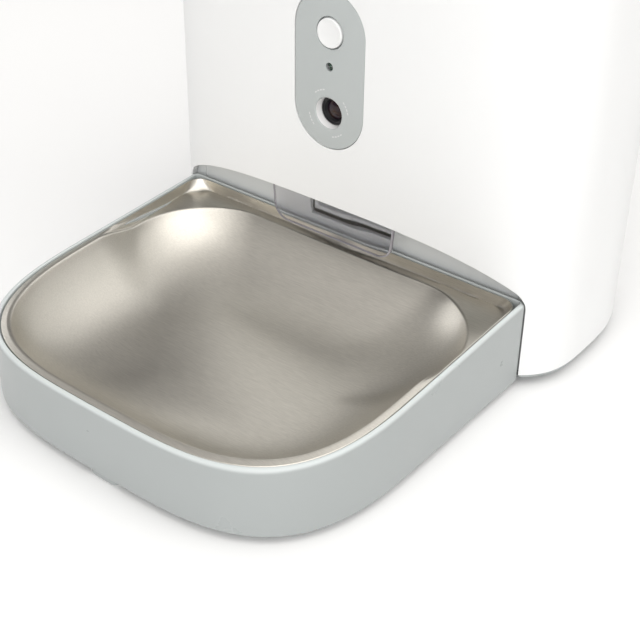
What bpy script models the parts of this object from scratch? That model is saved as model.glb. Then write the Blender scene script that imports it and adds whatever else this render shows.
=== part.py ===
"""Automatic pet feeder with a pull-out bowl tray, a front camera and a motor-driven dispensing wheel.

Metres, +Z up, front towards -Y. The origin is under the middle of the feeder, at floor level.
"""
import math

import bmesh
import bpy
from mathutils import Matrix, Vector

MM = 0.001

# Gaps
GAP = 0.3 * MM                    # between pieces that touch
FIT = 0.6 * MM                    # round something that slides

# Housing: a superellipse in plan, flatter in front than behind
BODY_HALF_WIDTH = 110.2 * MM
BODY_FRONT_DEPTH = 49.6 * MM      # widest line to the front face
BODY_BACK_DEPTH = 74.0 * MM       # widest line to the back face
BODY_POWER = 3.16
SHELL_WALL = 2.5 * MM
SHELL_HEIGHT = 196.5 * MM
FOOT_HEIGHT = 3.2 * MM
BASE_THICKNESS = 2.7 * MM
LID_HEIGHT = 25.0 * MM
LID_WALL = 2.2 * MM
LID_EDGE_RADIUS = 11.0 * MM

# Tray and bowl
TRAY_HALF_WIDTH = 96.9 * MM
TRAY_LENGTH = 163.2 * MM
TRAY_ROUND_LENGTH = 84.2 * MM     # part of the length that the round front takes
TRAY_POWER_X = 3.66
TRAY_POWER_Y = 2.93
TRAY_RIM_HEIGHT = 32.3 * MM       # front rim above the tray's underside
TRAY_RIM_SLOPE = 0.05             # the rim rises towards the housing
TRAY_RIM_WALL = 2.4 * MM
TRAY_WALL = 4.6 * MM              # wall under the ledge that carries the bowl
TRAY_FLOOR = 2.5 * MM
LEDGE_DROP = 2.0 * MM             # ledge below the rim
BOWL_SHEET = 1.0 * MM
BOWL_FLANGE = 3.4 * MM
BOWL_DEPTH = 25.0 * MM
BOWL_TURN = 40.0 * MM             # corner radius of the basin's edge at the housing side
BOWL_TURN_SHRINK = 0.4            # the corner tightens down the basin's wall
BOWL_OUTER_TURN = 7.0 * MM
TRAY_OVERLAP = 16.6 * MM          # how far the tray stands inside the housing front

# Opening in the housing front
CUT_HALF_WIDTH = 97.5 * MM
CUT_HEIGHT = 59.0 * MM            # edge above the shell's foot, at the middle of the front
CUT_SLOPE = 1.33                  # the edge drops towards the back
RECESS_WALL = 2.2 * MM
RECESS_HALF_WIDTH = 91.0 * MM
RECESS_HEIGHT = 70.0 * MM

# Hopper and dispensing wheel
WHEEL_RADIUS = 41.5 * MM
WHEEL_HEIGHT = 21.0 * MM
WHEEL_VANES = 6
VANE = 2.0 * MM
HUB_RADIUS = 9.0 * MM
SHAFT_RADIUS = 3.0 * MM
WHEEL_RING_GAP = 3.0 * MM         # the wheel's ring behind the hopper's front wall
RING_CLEARANCE = 1.5 * MM         # between the vanes and the ring
FLOOR_PLATE = 2.7 * MM
HOPPER_WALL = 2.0 * MM
HOPPER_RING_HEIGHT = 28.0 * MM
HOPPER_FUNNEL_HEIGHT = 34.0 * MM
HOPPER_SIDE_GAP = 10.0 * MM
HOPPER_FRONT_GAP = 18.5 * MM
HOPPER_BACK_GAP = 8.0 * MM
OUTLET_HALF_WIDTH = 20.0 * MM
OUTLET_BOSS_GAP = 10.4 * MM        # outlet's back edge to the shaft's bearing
BEARING_WALL = 4.0 * MM
CHUTE_WALL = 2.0 * MM
CHUTE_LIP_Z = 50.0 * MM
CHUTE_DROP = 3.8 * MM             # chute's upper end below the wheel floor

# Gears
MODULE = 1.5 * MM
GEAR_TEETH = 24
PINION_TEETH = 12
GEAR_WIDTH = 5.0 * MM
GEAR_FLOOR_GAP = 9.5 * MM         # wheel floor above the gears
GEAR_BAY_GAP = 6.8 * MM           # gears above the battery bay
MOTOR_SIZE = (25.0 * MM, 22.0 * MM, 30.0 * MM)
MOTOR_SHAFT_RADIUS = 2.0 * MM
MOTOR_SHAFT_INSET = 5.5 * MM      # shaft from the motor's back face

# Camera panel
PANEL_RADIUS = 18.4 * MM
PANEL_STRAIGHT = 34.0 * MM
PANEL_Z = 93.4 * MM               # lowest point of the panel
PANEL_THICKNESS = 3.0 * MM
LENS_HOLE = 7.2 * MM
LENS_DROP = 2.2 * MM              # lens below the centre of the panel's lower half circle
LENS_RING_RADIUS = 11.0 * MM
LENS_RING_DEPTH = 4.0 * MM
BARREL_RADIUS = 6.6 * MM
BARREL_SEAT = 3.7 * MM            # how far the barrel stands into the white ring round it
BARREL_LENGTH = 10.0 * MM
GLASS_RADIUS = 4.6 * MM
BUTTON_RADIUS = 6.5 * MM
BUTTON_TRAVEL = 1.5 * MM
LIGHT_RADIUS = 1.6 * MM
BOARD_THICKNESS = 1.4 * MM

# Batteries, three D cells in a row
CELL_RADIUS = 17.1 * MM
CELL_LENGTH = 61.5 * MM
CELL_COUNT = 3
BAY_WALL = 2.0 * MM
BAY_BACK_GAP = 1.3 * MM           # bay's back corners to the shell
BAY_HEADROOM = 0.5 * MM
CELL_LIFT = 2.5 * MM              # cells above the shell's foot

# Power inlet at the back
INLET_X = -60.0 * MM
INLET_Z = 24.0 * MM
INLET_HALF = (5.5 * MM, 5.0 * MM)
INLET_DEPTH = 13.0 * MM

# Desiccant holder in the lid
DRY_RADIUS = 27.0 * MM
DRY_DEPTH = 15.0 * MM
DRY_WALL = 1.6 * MM

ROUND = 32                        # sides of a round piece
OUTLINE_POINTS = 64
FRONT_CUT_DEPTH = 60.0 * MM       # how far back the cutter over the tray reaches

# Derived places
BODY_CENTRE_Y = (TRAY_LENGTH - TRAY_OVERLAP + BODY_FRONT_DEPTH - BODY_BACK_DEPTH) / 2
FRONT_Y = BODY_CENTRE_Y - BODY_FRONT_DEPTH
BACK_Y = BODY_CENTRE_Y + BODY_BACK_DEPTH
BASE_Z = FOOT_HEIGHT + GAP
SHELL_Z = BASE_Z + BASE_THICKNESS + GAP
SHELL_TOP = SHELL_Z + SHELL_HEIGHT
LID_Z = SHELL_TOP + 0.4 * MM
LID_TOP = LID_Z + LID_HEIGHT
TRAY_BACK = FRONT_Y + TRAY_OVERLAP
TRAY_FRONT = TRAY_BACK - TRAY_LENGTH
TRAY_Z = BASE_Z
RECESS_Y = TRAY_BACK + 1.9 * MM
PANEL_LOW_Z = PANEL_Z + PANEL_RADIUS
PANEL_HIGH_Z = PANEL_LOW_Z + PANEL_STRAIGHT
LENS_Z = PANEL_LOW_Z - LENS_DROP
PANEL_Y = FRONT_Y + 0.2 * MM
LIGHT_Z = (PANEL_LOW_Z + PANEL_HIGH_Z) / 2 + 2 * MM
CELL_Z = SHELL_Z + CELL_LIFT + CELL_RADIUS
BAY_HALF_LENGTH = CELL_LENGTH * CELL_COUNT / 2 + 1.2 * MM
BAY_HALF_DEPTH = CELL_RADIUS + 0.4 * MM
BAY_ROOF_Z = CELL_Z + CELL_RADIUS + BAY_HEADROOM
RING_RADIUS = WHEEL_RADIUS + RING_CLEARANCE + HOPPER_WALL
WHEEL_Y = FRONT_Y + HOPPER_FRONT_GAP + WHEEL_RING_GAP + RING_RADIUS
OUTLET_Y = WHEEL_Y - math.sqrt(WHEEL_RADIUS ** 2 - OUTLET_HALF_WIDTH ** 2)
OUTLET_BACK_Y = WHEEL_Y - SHAFT_RADIUS - BEARING_WALL - OUTLET_BOSS_GAP
GEAR_TOP = BAY_ROOF_Z + BAY_WALL + GEAR_BAY_GAP + GEAR_WIDTH
WHEEL_FLOOR_Z = GEAR_TOP + GEAR_FLOOR_GAP


def front_y_at(x, inset=0.0):
    """Where the housing's front face stands at a given X."""
    share = 1 - (abs(x) / (BODY_HALF_WIDTH - inset)) ** BODY_POWER
    return BODY_CENTRE_Y - (BODY_FRONT_DEPTH - inset) * share ** (1 / BODY_POWER)


def back_y_at(x, inset=0.0):
    """Where the housing's back face stands at a given X."""
    share = 1 - (abs(x) / (BODY_HALF_WIDTH - inset)) ** BODY_POWER
    return BODY_CENTRE_Y + (BODY_BACK_DEPTH - inset) * share ** (1 / BODY_POWER)


INLET_FACE_Y = back_y_at(INLET_X) - 0.8 * MM
BAY_CORNER_Y = back_y_at(BAY_HALF_LENGTH + BAY_WALL, SHELL_WALL)
BAY_BACK_Y = min(BAY_CORNER_Y, INLET_FACE_Y - INLET_DEPTH) - BAY_BACK_GAP
BAY_Y = BAY_BACK_Y - BAY_WALL - BAY_HALF_DEPTH
BAY_FRONT_Y = BAY_Y - BAY_HALF_DEPTH - BAY_WALL
GEAR_DISTANCE = MODULE * (GEAR_TEETH + PINION_TEETH) / 2
PINION_Y = BAY_FRONT_Y - FIT - MOTOR_SHAFT_INSET
PINION_ANGLE = math.asin((PINION_Y - WHEEL_Y) / GEAR_DISTANCE)
PINION_X = GEAR_DISTANCE * math.cos(PINION_ANGLE)

COLOURS = {
    "white_plastic": ((0.86, 0.87, 0.87), 0.42, 0.0),
    "grey_plastic": ((0.47, 0.50, 0.50), 0.45, 0.0),
    "clear_plastic": ((0.80, 0.82, 0.88), 0.08, 0.0),
    "dark_plastic": ((0.03, 0.03, 0.035), 0.4, 0.0),
    "glass": ((0.02, 0.02, 0.03), 0.05, 0.0),
    "steel": ((0.55, 0.53, 0.50), 0.32, 1.0),
    "rubber": ((0.20, 0.21, 0.21), 0.8, 0.0),
    "board": ((0.02, 0.18, 0.08), 0.5, 0.0),
    "battery": ((0.10, 0.10, 0.12), 0.35, 0.3),
    "brass": ((0.60, 0.45, 0.20), 0.35, 1.0),
    "bag": ((0.80, 0.80, 0.76), 0.9, 0.0),
}


def start_scene():
    """Empties the scene and makes one collection for the parts and one for the cutters."""
    for old in list(bpy.data.objects):
        bpy.data.objects.remove(old, do_unlink=True)
    parts = bpy.data.collections.new("pet_feeder")
    cutters = bpy.data.collections.new("cutters")
    for group in (parts, cutters):
        bpy.context.scene.collection.children.link(group)
    return parts, cutters


PARTS, CUTTERS = start_scene()


def material(name, finish):
    """One Principled material for one part, with the finish's colour, roughness and metallic value."""
    colour, roughness, metallic = COLOURS[finish]
    result = bpy.data.materials.new(name)
    result.use_nodes = True
    shader = result.node_tree.nodes["Principled BSDF"]
    shader.inputs["Base Color"].default_value = (*colour, 1.0)
    shader.inputs["Roughness"].default_value = roughness
    shader.inputs["Metallic"].default_value = metallic
    return result


def finish_object(name, mesh, finish, smooth=True):
    """Links a mesh as a part, or as a cutter when it has no finish."""
    piece = bpy.data.objects.new(name, mesh)
    if finish is None:
        CUTTERS.objects.link(piece)
        piece.hide_render = True
        piece.display_type = "WIRE"
        return piece
    PARTS.objects.link(piece)
    mesh.materials.append(material(name, finish))
    if smooth:
        mesh.shade_smooth()
        mesh.set_sharp_from_angle(angle=math.radians(35))
    return piece


def from_bmesh(name, form, finish, closed=True):
    """Turns a bmesh into a part or a cutter. A closed form gets its faces pointing out."""
    if closed:
        bmesh.ops.recalc_face_normals(form, faces=form.faces)
    mesh = bpy.data.meshes.new(name)
    form.to_mesh(mesh)
    form.free()
    return finish_object(name, mesh, finish)


def box(name, low, high, finish=None):
    """A block between two corners."""
    form = bmesh.new()
    bmesh.ops.create_cube(form, size=1.0)
    size = [high[i] - low[i] for i in range(3)]
    centre = [(high[i] + low[i]) / 2 for i in range(3)]
    bmesh.ops.scale(form, vec=size, verts=form.verts)
    bmesh.ops.translate(form, vec=centre, verts=form.verts)
    return from_bmesh(name, form, finish)


AXIS_TURN = {
    "X": Matrix.Rotation(math.radians(90), 4, "Y"),
    "Y": Matrix.Rotation(math.radians(-90), 4, "X"),
    "Z": Matrix.Identity(4),
}


def rod(name, start, axis, length, radius, finish=None, end_radius=None, sides=ROUND):
    """A cylinder, or a cone with an end radius, from start along an axis."""
    end_radius = radius if end_radius is None else end_radius
    form = bmesh.new()
    bmesh.ops.create_cone(form, cap_ends=True, segments=sides, radius1=radius, radius2=end_radius,
                          depth=length, matrix=Matrix.Translation((0, 0, length / 2)))
    bmesh.ops.transform(form, matrix=Matrix.Translation(start) @ AXIS_TURN[axis], verts=form.verts)
    return from_bmesh(name, form, finish)


def ring(name, start, axis, length, outer, inner, finish, inner_end=None):
    """A ring: a turned profile round an axis, its bore straight or tapered."""
    inner_end = inner if inner_end is None else inner_end
    profile = [(outer, length), (outer, 0.0), (inner, 0.0), (inner_end, length)]
    mesh = bpy.data.meshes.new(name)
    edges = [(i, (i + 1) % len(profile)) for i in range(len(profile))]
    mesh.from_pydata([(r, 0.0, z) for r, z in profile], edges, [])
    piece = finish_object(name, mesh, finish, smooth=False)
    piece.matrix_world = Matrix.Translation(start) @ AXIS_TURN[axis]
    screw = piece.modifiers.new("turn", "SCREW")
    screw.steps = ROUND
    screw.render_steps = ROUND
    screw.use_merge_vertices = True
    screw.merge_threshold = 0.00001
    return piece


def slab(name, points, low, high, finish=None):
    """A flat outline given a thickness from low to high."""
    curve = bpy.data.curves.new(name, "CURVE")
    curve.dimensions = "2D"
    curve.fill_mode = "BOTH"
    curve.extrude = (high - low) / 2
    spline = curve.splines.new("POLY")
    spline.points.add(len(points) - 1)
    for point, (x, y) in zip(spline.points, points):
        point.co = (x, y, 0.0, 1.0)
    spline.use_cyclic_u = True
    source = bpy.data.objects.new(name + "_outline", curve)
    bpy.context.scene.collection.objects.link(source)
    seen = source.evaluated_get(bpy.context.evaluated_depsgraph_get())
    mesh = bpy.data.meshes.new_from_object(seen)
    bpy.data.objects.remove(source, do_unlink=True)
    mesh.name = name
    mesh.materials.clear()
    form = bmesh.new()
    form.from_mesh(mesh)
    bpy.data.meshes.remove(mesh)
    bmesh.ops.remove_doubles(form, verts=form.verts, dist=0.00001)
    bmesh.ops.translate(form, vec=(0, 0, (low + high) / 2), verts=form.verts)
    return from_bmesh(name, form, finish)


def loft(name, rings, finish, wall, closed=True):
    """A skin over rings, thickened on its inner side, with its last ring filled when closed.

    The rings run anticlockwise, and go up on an outer skin or inwards on a dish.
    """
    form = bmesh.new()
    loops = [[form.verts.new(point) for point in points] for points in rings]
    count = len(loops[0])
    for low, high in zip(loops, loops[1:]):
        for i in range(count):
            j = (i + 1) % count
            form.faces.new((low[i], low[j], high[j], high[i]))
    if closed:
        form.faces.new(loops[-1])
    piece = from_bmesh(name, form, finish, closed=False)
    shell = piece.modifiers.new("wall", "SOLIDIFY")
    shell.thickness = wall
    shell.offset = -1.0
    shell.use_even_offset = True
    return piece


def combine(piece, other, operation):
    """Cuts or joins another object, which then counts as a cutter."""
    step = piece.modifiers.new(other.name, "BOOLEAN")
    step.operation = operation
    step.solver = "EXACT"
    step.object = other
    return piece


def cut(piece, *others):
    """Takes every given cutter away from a piece."""
    for other in others:
        combine(piece, other, "DIFFERENCE")
    return piece


def join(piece, *others):
    """Adds every given helper solid to a piece."""
    for other in others:
        combine(piece, other, "UNION")
    return piece


def signed_power(value, power):
    """A power that keeps the sign."""
    return math.copysign(abs(value) ** power, value)


def body_outline(inset=0.0, points=OUTLINE_POINTS):
    """The housing's plan, drawn in by an inset."""
    outline = []
    for i in range(points):
        angle = 2 * math.pi * i / points
        x = (BODY_HALF_WIDTH - inset) * signed_power(math.cos(angle), 2 / BODY_POWER)
        depth = BODY_BACK_DEPTH if math.sin(angle) > 0 else BODY_FRONT_DEPTH
        y = (depth - inset) * signed_power(math.sin(angle), 2 / BODY_POWER)
        outline.append((x, BODY_CENTRE_Y + y))
    return outline


def tray_outline(inset=0.0, back_radius=5.0 * MM, points=40, corner_points=5):
    """The tray's plan: straight sides, a superellipse in front and round corners at the back."""
    half = TRAY_HALF_WIDTH - inset
    front_length = TRAY_ROUND_LENGTH - inset
    straight_y = TRAY_FRONT + TRAY_ROUND_LENGTH
    outline = []
    for i in range(points + 1):
        angle = math.pi * i / points
        x = half * signed_power(math.cos(angle), 2 / TRAY_POWER_X)
        y = straight_y - front_length * math.sin(angle) ** (2 / TRAY_POWER_Y)
        outline.append((x, y))
    back = TRAY_BACK - inset
    radius = back_radius
    for side, start in ((-1, 180), (1, 90)):
        centre = (side * (half - radius), back - radius)
        for i in range(corner_points + 1):
            angle = math.radians(start - 90 * i / corner_points)
            outline.append((centre[0] + radius * math.cos(angle), centre[1] + radius * math.sin(angle)))
    return outline[::-1]


def rim_z(y):
    """Height of the tray's sloping rim."""
    return TRAY_Z + TRAY_RIM_HEIGHT + TRAY_RIM_SLOPE * (y - TRAY_FRONT)


def slope_top(piece, drop):
    """Moves the upper points of a slab to the sloping rim, less a drop."""
    middle = TRAY_Z + TRAY_RIM_HEIGHT / 2
    for vertex in piece.data.vertices:
        if vertex.co.z > middle:
            vertex.co.z = rim_z(vertex.co.y) - drop


def slope_bottom(piece, drop):
    """Moves the lower points of a slab to the sloping rim, less a drop."""
    lowest = min(vertex.co.z for vertex in piece.data.vertices)
    for vertex in piece.data.vertices:
        if vertex.co.z < lowest + MM:
            vertex.co.z = rim_z(vertex.co.y) - drop


def pill(half_width, straight, low_z, near_y, far_y, name, finish=None):
    """An upright pill shape between two depths."""
    points = []
    for start, centre_z in ((180, 0.0), (0, straight)):
        for i in range(ROUND // 2 + 1):
            angle = math.radians(start + 180 * i / (ROUND // 2))
            points.append((half_width * math.cos(angle), centre_z + half_width * math.sin(angle)))
    piece = slab(name, points, 0.0, far_y - near_y, finish)
    turn = Matrix.Translation((0, far_y, low_z + half_width)) @ Matrix.Rotation(math.radians(90), 4, "X")
    piece.data.transform(turn)
    return piece


def gear_outline(teeth, phase):
    """A spur gear with straight-sided teeth and some backlash."""
    radius = MODULE * teeth / 2
    pitch = 2 * math.pi / teeth
    corners = ((-0.29, -1.2), (-0.10, 0.85), (0.10, 0.85), (0.29, -1.2))
    points = []
    for tooth in range(teeth):
        for share, height in corners:
            angle = phase + pitch * (tooth + share)
            reach = radius + MODULE * height
            points.append((reach * math.cos(angle), reach * math.sin(angle)))
    return points


def moved(points, x, y):
    """An outline moved in plan."""
    return [(px + x, py + y) for px, py in points]


def front_cutter():
    """The wedge under the housing's slanting front edge, over the tray."""
    ahead = 20.0 * MM
    edge_z = SHELL_Z + CUT_HEIGHT
    profile = [
        (FRONT_Y - ahead, SHELL_Z - ahead),
        (FRONT_Y + FRONT_CUT_DEPTH, SHELL_Z - ahead),
        (FRONT_Y + FRONT_CUT_DEPTH, edge_z - CUT_SLOPE * FRONT_CUT_DEPTH),
        (FRONT_Y - ahead, edge_z + CUT_SLOPE * ahead),
    ]
    wedge = slab("front_cutter", profile, -CUT_HALF_WIDTH, CUT_HALF_WIDTH)
    wedge.data.transform(Matrix(((0, 0, 1, 0), (1, 0, 0, 0), (0, 1, 0, 0), (0, 0, 0, 1))))
    return wedge


POST_RADIUS = 5.0 * MM
POST_HEIGHT = 34.0 * MM
SIDE_POST_X = BODY_HALF_WIDTH - SHELL_WALL - POST_RADIUS + 0.3 * MM
BACK_POST_X = 35.0 * MM
BACK_POST_Y = back_y_at(BACK_POST_X, SHELL_WALL) - POST_RADIUS + 0.8 * MM
SCREW_PLACES = [(side * x, y) for x, y in ((SIDE_POST_X, BODY_CENTRE_Y), (BACK_POST_X, BACK_POST_Y))
                for side in (-1, 1)]
SCREW_RADIUS = 1.5 * MM
SCREW_HEAD_RADIUS = 3.0 * MM
SCREW_HEAD_HEIGHT = 1.4 * MM
SCREW_LENGTH = 14.0 * MM
SCREW_SIDES = 16

SPEAKER_X = 58.0 * MM
SPEAKER_Z = 74.0 * MM
SPEAKER_RADIUS = 18.0 * MM
GRILLE_SLOTS = 5
GRILLE_PITCH = 5.0 * MM


def outer_shell():
    """The white housing: one wall all round, open above and below, cut out over the tray."""
    rings = [[(x, y, z) for x, y in body_outline()] for z in (SHELL_Z, SHELL_TOP)]
    shell = loft("outer_shell", rings, "white_plastic", wall=SHELL_WALL, closed=False)
    cut(shell, front_cutter())
    cut(shell, pill(PANEL_RADIUS + GAP, PANEL_STRAIGHT, PANEL_Z - GAP, FRONT_Y - 5 * MM,
                    FRONT_Y + 8 * MM, "panel_hole"))
    for i, (x, y) in enumerate(SCREW_PLACES):
        post = rod(f"post_{i}", (x, y, SHELL_Z), "Z", POST_HEIGHT, POST_RADIUS)
        bore = rod(f"post_bore_{i}", (x, y, SHELL_Z - MM), "Z", SCREW_LENGTH + 2 * MM, SCREW_RADIUS + GAP)
        join(shell, post)
        cut(shell, bore)
    inlet_y = back_y_at(INLET_X)
    half_x, half_z = INLET_HALF[0] + GAP, INLET_HALF[1] + GAP
    cut(shell, box("inlet_hole", (INLET_X - half_x, inlet_y - 8 * MM, INLET_Z - half_z),
                   (INLET_X + half_x, inlet_y + 8 * MM, INLET_Z + half_z)))
    speaker_y = back_y_at(SPEAKER_X)
    for i in range(GRILLE_SLOTS):
        z = SPEAKER_Z + GRILLE_PITCH * (i - (GRILLE_SLOTS - 1) / 2)
        cut(shell, box(f"grille_slot_{i}", (SPEAKER_X - 12 * MM, speaker_y - 10 * MM, z - MM),
                       (SPEAKER_X + 12 * MM, speaker_y + 10 * MM, z + MM)))


def base_plate():
    """The grey floor of the housing, cut away where the tray stands and over the battery bay."""
    plate = slab("base_plate", body_outline(0.6 * MM), BASE_Z, BASE_Z + BASE_THICKNESS, "grey_plastic")
    low, high = BASE_Z - 5 * MM, BASE_Z + 10 * MM
    cut(plate, box("tray_bay", (-CUT_HALF_WIDTH, FRONT_Y - 20 * MM, low),
                   (CUT_HALF_WIDTH, TRAY_BACK + FIT, high)))
    cut(plate, box("battery_hole", (-BAY_HALF_LENGTH, BAY_Y - BAY_HALF_DEPTH, low),
                   (BAY_HALF_LENGTH, BAY_Y + BAY_HALF_DEPTH, high)))
    for i, (x, y) in enumerate(SCREW_PLACES):
        cut(plate, rod(f"base_bore_{i}", (x, y, low), "Z", high - low, SCREW_RADIUS + GAP))
        cut(plate, rod(f"base_seat_{i}", (x, y, low), "Z", BASE_Z + SCREW_HEAD_HEIGHT + GAP - low,
                       SCREW_HEAD_RADIUS + GAP))


def base_screws():
    """The screws that hold the floor to the housing's posts."""
    for i, (x, y) in enumerate(SCREW_PLACES):
        screw = rod(f"base_screw_{i + 1}", (x, y, BASE_Z), "Z", SCREW_HEAD_HEIGHT, SCREW_HEAD_RADIUS, "steel",
                    sides=SCREW_SIDES)
        shank = rod(f"screw_shank_{i}", (x, y, BASE_Z + MM), "Z", SCREW_LENGTH, SCREW_RADIUS,
                    sides=SCREW_SIDES)
        join(screw, shank)


BODY_FEET = [(side * x, y) for x, y in ((88 * MM, RECESS_Y + 12 * MM), (72 * MM, BACK_Y - 18 * MM))
             for side in (-1, 1)]
BODY_FOOT_RADIUS = 7.0 * MM


def body_feet():
    """Four round rubber feet under the housing."""
    for i, (x, y) in enumerate(BODY_FEET):
        rod(f"body_foot_{i + 1}", (x, y, 0.0), "Z", FOOT_HEIGHT, BODY_FOOT_RADIUS - 0.8 * MM, "rubber",
            end_radius=BODY_FOOT_RADIUS)


HOOK_X = 62.0 * MM
HOOK_HALF_WIDTH = 9.0 * MM
HOOK_LENGTH = 9.0 * MM
HOOK_THICKNESS = 4.0 * MM
HOOK_Z = TRAY_Z + 6.0 * MM


def recess_panel():
    """The light grey wall behind the tray, with the food opening and two slots for the tray's tongues."""
    panel = box("recess_panel", (-RECESS_HALF_WIDTH, RECESS_Y, SHELL_Z),
                (RECESS_HALF_WIDTH, RECESS_Y + RECESS_WALL, SHELL_Z + RECESS_HEIGHT), "grey_plastic")
    near, far = RECESS_Y - 5 * MM, RECESS_Y + 8 * MM
    half = OUTLET_HALF_WIDTH + CHUTE_WALL + GAP
    cut(panel, box("food_opening", (-half, near, CHUTE_LIP_Z - CHUTE_WALL - MM),
                   (half, far, WHEEL_FLOOR_Z + MM)))
    half = HOOK_HALF_WIDTH + FIT
    for side in (-1, 1):
        cut(panel, box(f"tongue_slot_{side}", (side * HOOK_X - half, near, HOOK_Z - FIT),
                       (side * HOOK_X + half, far, HOOK_Z + HOOK_THICKNESS + FIT)))


def chute():
    """The sloping trough that leads from under the wheel to the opening behind the bowl."""
    back = OUTLET_BACK_Y + GAP
    lip_y = RECESS_Y + RECESS_WALL + GAP
    half = OUTLET_HALF_WIDTH + CHUTE_WALL
    top = WHEEL_FLOOR_Z - GAP
    back_low = WHEEL_FLOOR_Z - CHUTE_DROP
    rise = (back_low - CHUTE_LIP_Z) / (back - lip_y)

    def section(inset, low_drop, high):
        return [(lip_y - inset * 3, CHUTE_LIP_Z - low_drop - rise * inset * 3),
                (back + CHUTE_WALL - inset, back_low - low_drop + rise * (CHUTE_WALL - inset)),
                (back + CHUTE_WALL - inset, high),
                (lip_y - inset * 3, high)]

    swap = Matrix(((0, 0, 1, 0), (1, 0, 0, 0), (0, 1, 0, 0), (0, 0, 0, 1)))
    trough = slab("chute", section(0.0, CHUTE_WALL, top), -half, half, "grey_plastic")
    trough.data.transform(swap)
    inside = slab("chute_inside", section(CHUTE_WALL, 0.0, top + 5 * MM), -OUTLET_HALF_WIDTH,
                  OUTLET_HALF_WIDTH)
    inside.data.transform(swap)
    cut(trough, inside)


GUARD_HALF_WIDTH = 36.2 * MM
GUARD_LOW_HALF_WIDTH = 33.2 * MM
GUARD_CORNER = 8.0 * MM
GUARD_Z = 46.0 * MM
GUARD_TOP = 80.0 * MM
GUARD_THICKNESS = 2.0 * MM
GUARD_Y = front_y_at(GUARD_HALF_WIDTH, SHELL_WALL) + GAP


def chute_guard():
    """The clear flap that hangs behind the housing's front edge and keeps paws out."""
    points = [(GUARD_HALF_WIDTH, GUARD_TOP), (-GUARD_HALF_WIDTH, GUARD_TOP)]
    for side, start in ((-1, 180), (1, 270)):
        centre = (side * (GUARD_LOW_HALF_WIDTH - GUARD_CORNER), GUARD_Z + GUARD_CORNER)
        for i in range(9):
            angle = math.radians(start + 90 * i / 8)
            points.append((centre[0] + GUARD_CORNER * math.cos(angle),
                           centre[1] + GUARD_CORNER * math.sin(angle)))
    flap = slab("chute_guard", points, 0.0, GUARD_THICKNESS, "clear_plastic")
    upright = Matrix.Rotation(math.radians(90), 4, "X")
    flap.data.transform(Matrix.Translation((0, GUARD_Y + GUARD_THICKNESS, 0)) @ upright)


def camera_panel():
    """The pill-shaped grey panel with the lens, light and button holes."""
    panel = pill(PANEL_RADIUS, PANEL_STRAIGHT, PANEL_Z, PANEL_Y, PANEL_Y + PANEL_THICKNESS, "camera_panel",
                 "grey_plastic")
    reach = (0, PANEL_Y - 5 * MM)
    deep = PANEL_THICKNESS + 10 * MM
    cut(panel, rod("lens_hole", (*reach, LENS_Z), "Y", deep, LENS_HOLE))
    cut(panel, rod("button_hole", (*reach, PANEL_HIGH_Z), "Y", deep, BUTTON_RADIUS + FIT))
    cut(panel, rod("light_hole", (*reach, LIGHT_Z), "Y", deep, LIGHT_RADIUS + GAP))


def camera():
    """The camera behind the panel: surround, barrel, front glass and circuit board."""
    ring_y = PANEL_Y + PANEL_THICKNESS + GAP
    ring("lens_surround", (0, ring_y, LENS_Z), "Y", LENS_RING_DEPTH, LENS_RING_RADIUS,
         LENS_HOLE + 0.2 * MM, "white_plastic", inner_end=BARREL_RADIUS + GAP)
    barrel_y = ring_y + LENS_RING_DEPTH - BARREL_SEAT
    barrel = rod("lens_barrel", (0, barrel_y, LENS_Z), "Y", BARREL_LENGTH, BARREL_RADIUS, "dark_plastic")
    cut(barrel, rod("barrel_bore", (0, barrel_y - 5 * MM, LENS_Z), "Y", 7.5 * MM, GLASS_RADIUS + GAP))
    rod("lens_glass", (0, barrel_y + 0.5 * MM, LENS_Z), "Y", 1.7 * MM, GLASS_RADIUS - 0.6 * MM, "glass",
        end_radius=GLASS_RADIUS)
    board_y = barrel_y + BARREL_LENGTH + GAP
    half = 12.0 * MM
    box("camera_board", (-half, board_y, LENS_Z - half),
        (half, board_y + BOARD_THICKNESS, LENS_Z + half), "board")


def feed_button():
    """The round button that dispenses a portion by hand. It travels inwards."""
    y = PANEL_Y - 0.6 * MM
    cap = rod("feed_button", (0, y, PANEL_HIGH_Z), "Y", 5 * MM, BUTTON_RADIUS, "grey_plastic")
    flange = rod("button_flange", (0, PANEL_Y + PANEL_THICKNESS + GAP, PANEL_HIGH_Z), "Y", 1.5 * MM,
                 BUTTON_RADIUS + 2 * MM)
    join(cap, flange)
    board_y = PANEL_Y + PANEL_THICKNESS + 2 * MM + BUTTON_TRAVEL + MM
    box("button_board", (-13 * MM, board_y, PANEL_HIGH_Z - 24 * MM),
        (13 * MM, board_y + BOARD_THICKNESS, PANEL_HIGH_Z + 10 * MM), "board")
    near = PANEL_Y + 0.1 * MM
    rod("status_light", (0, near, LIGHT_Z), "Y", board_y - GAP - near, LIGHT_RADIUS, "clear_plastic",
        sides=24)


def hopper_outline(z, points):
    """The hopper's plan where it fills the housing."""
    front = BODY_FRONT_DEPTH - HOPPER_FRONT_GAP
    back = BODY_BACK_DEPTH - HOPPER_BACK_GAP
    half = BODY_HALF_WIDTH - HOPPER_SIDE_GAP
    ring_points = []
    for i in range(points):
        angle = 2 * math.pi * i / points
        depth = back if math.sin(angle) > 0 else front
        x = half * signed_power(math.cos(angle), 2 / BODY_POWER)
        y = BODY_CENTRE_Y + depth * signed_power(math.sin(angle), 2 / BODY_POWER)
        ring_points.append((x, y, z))
    return ring_points


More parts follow.
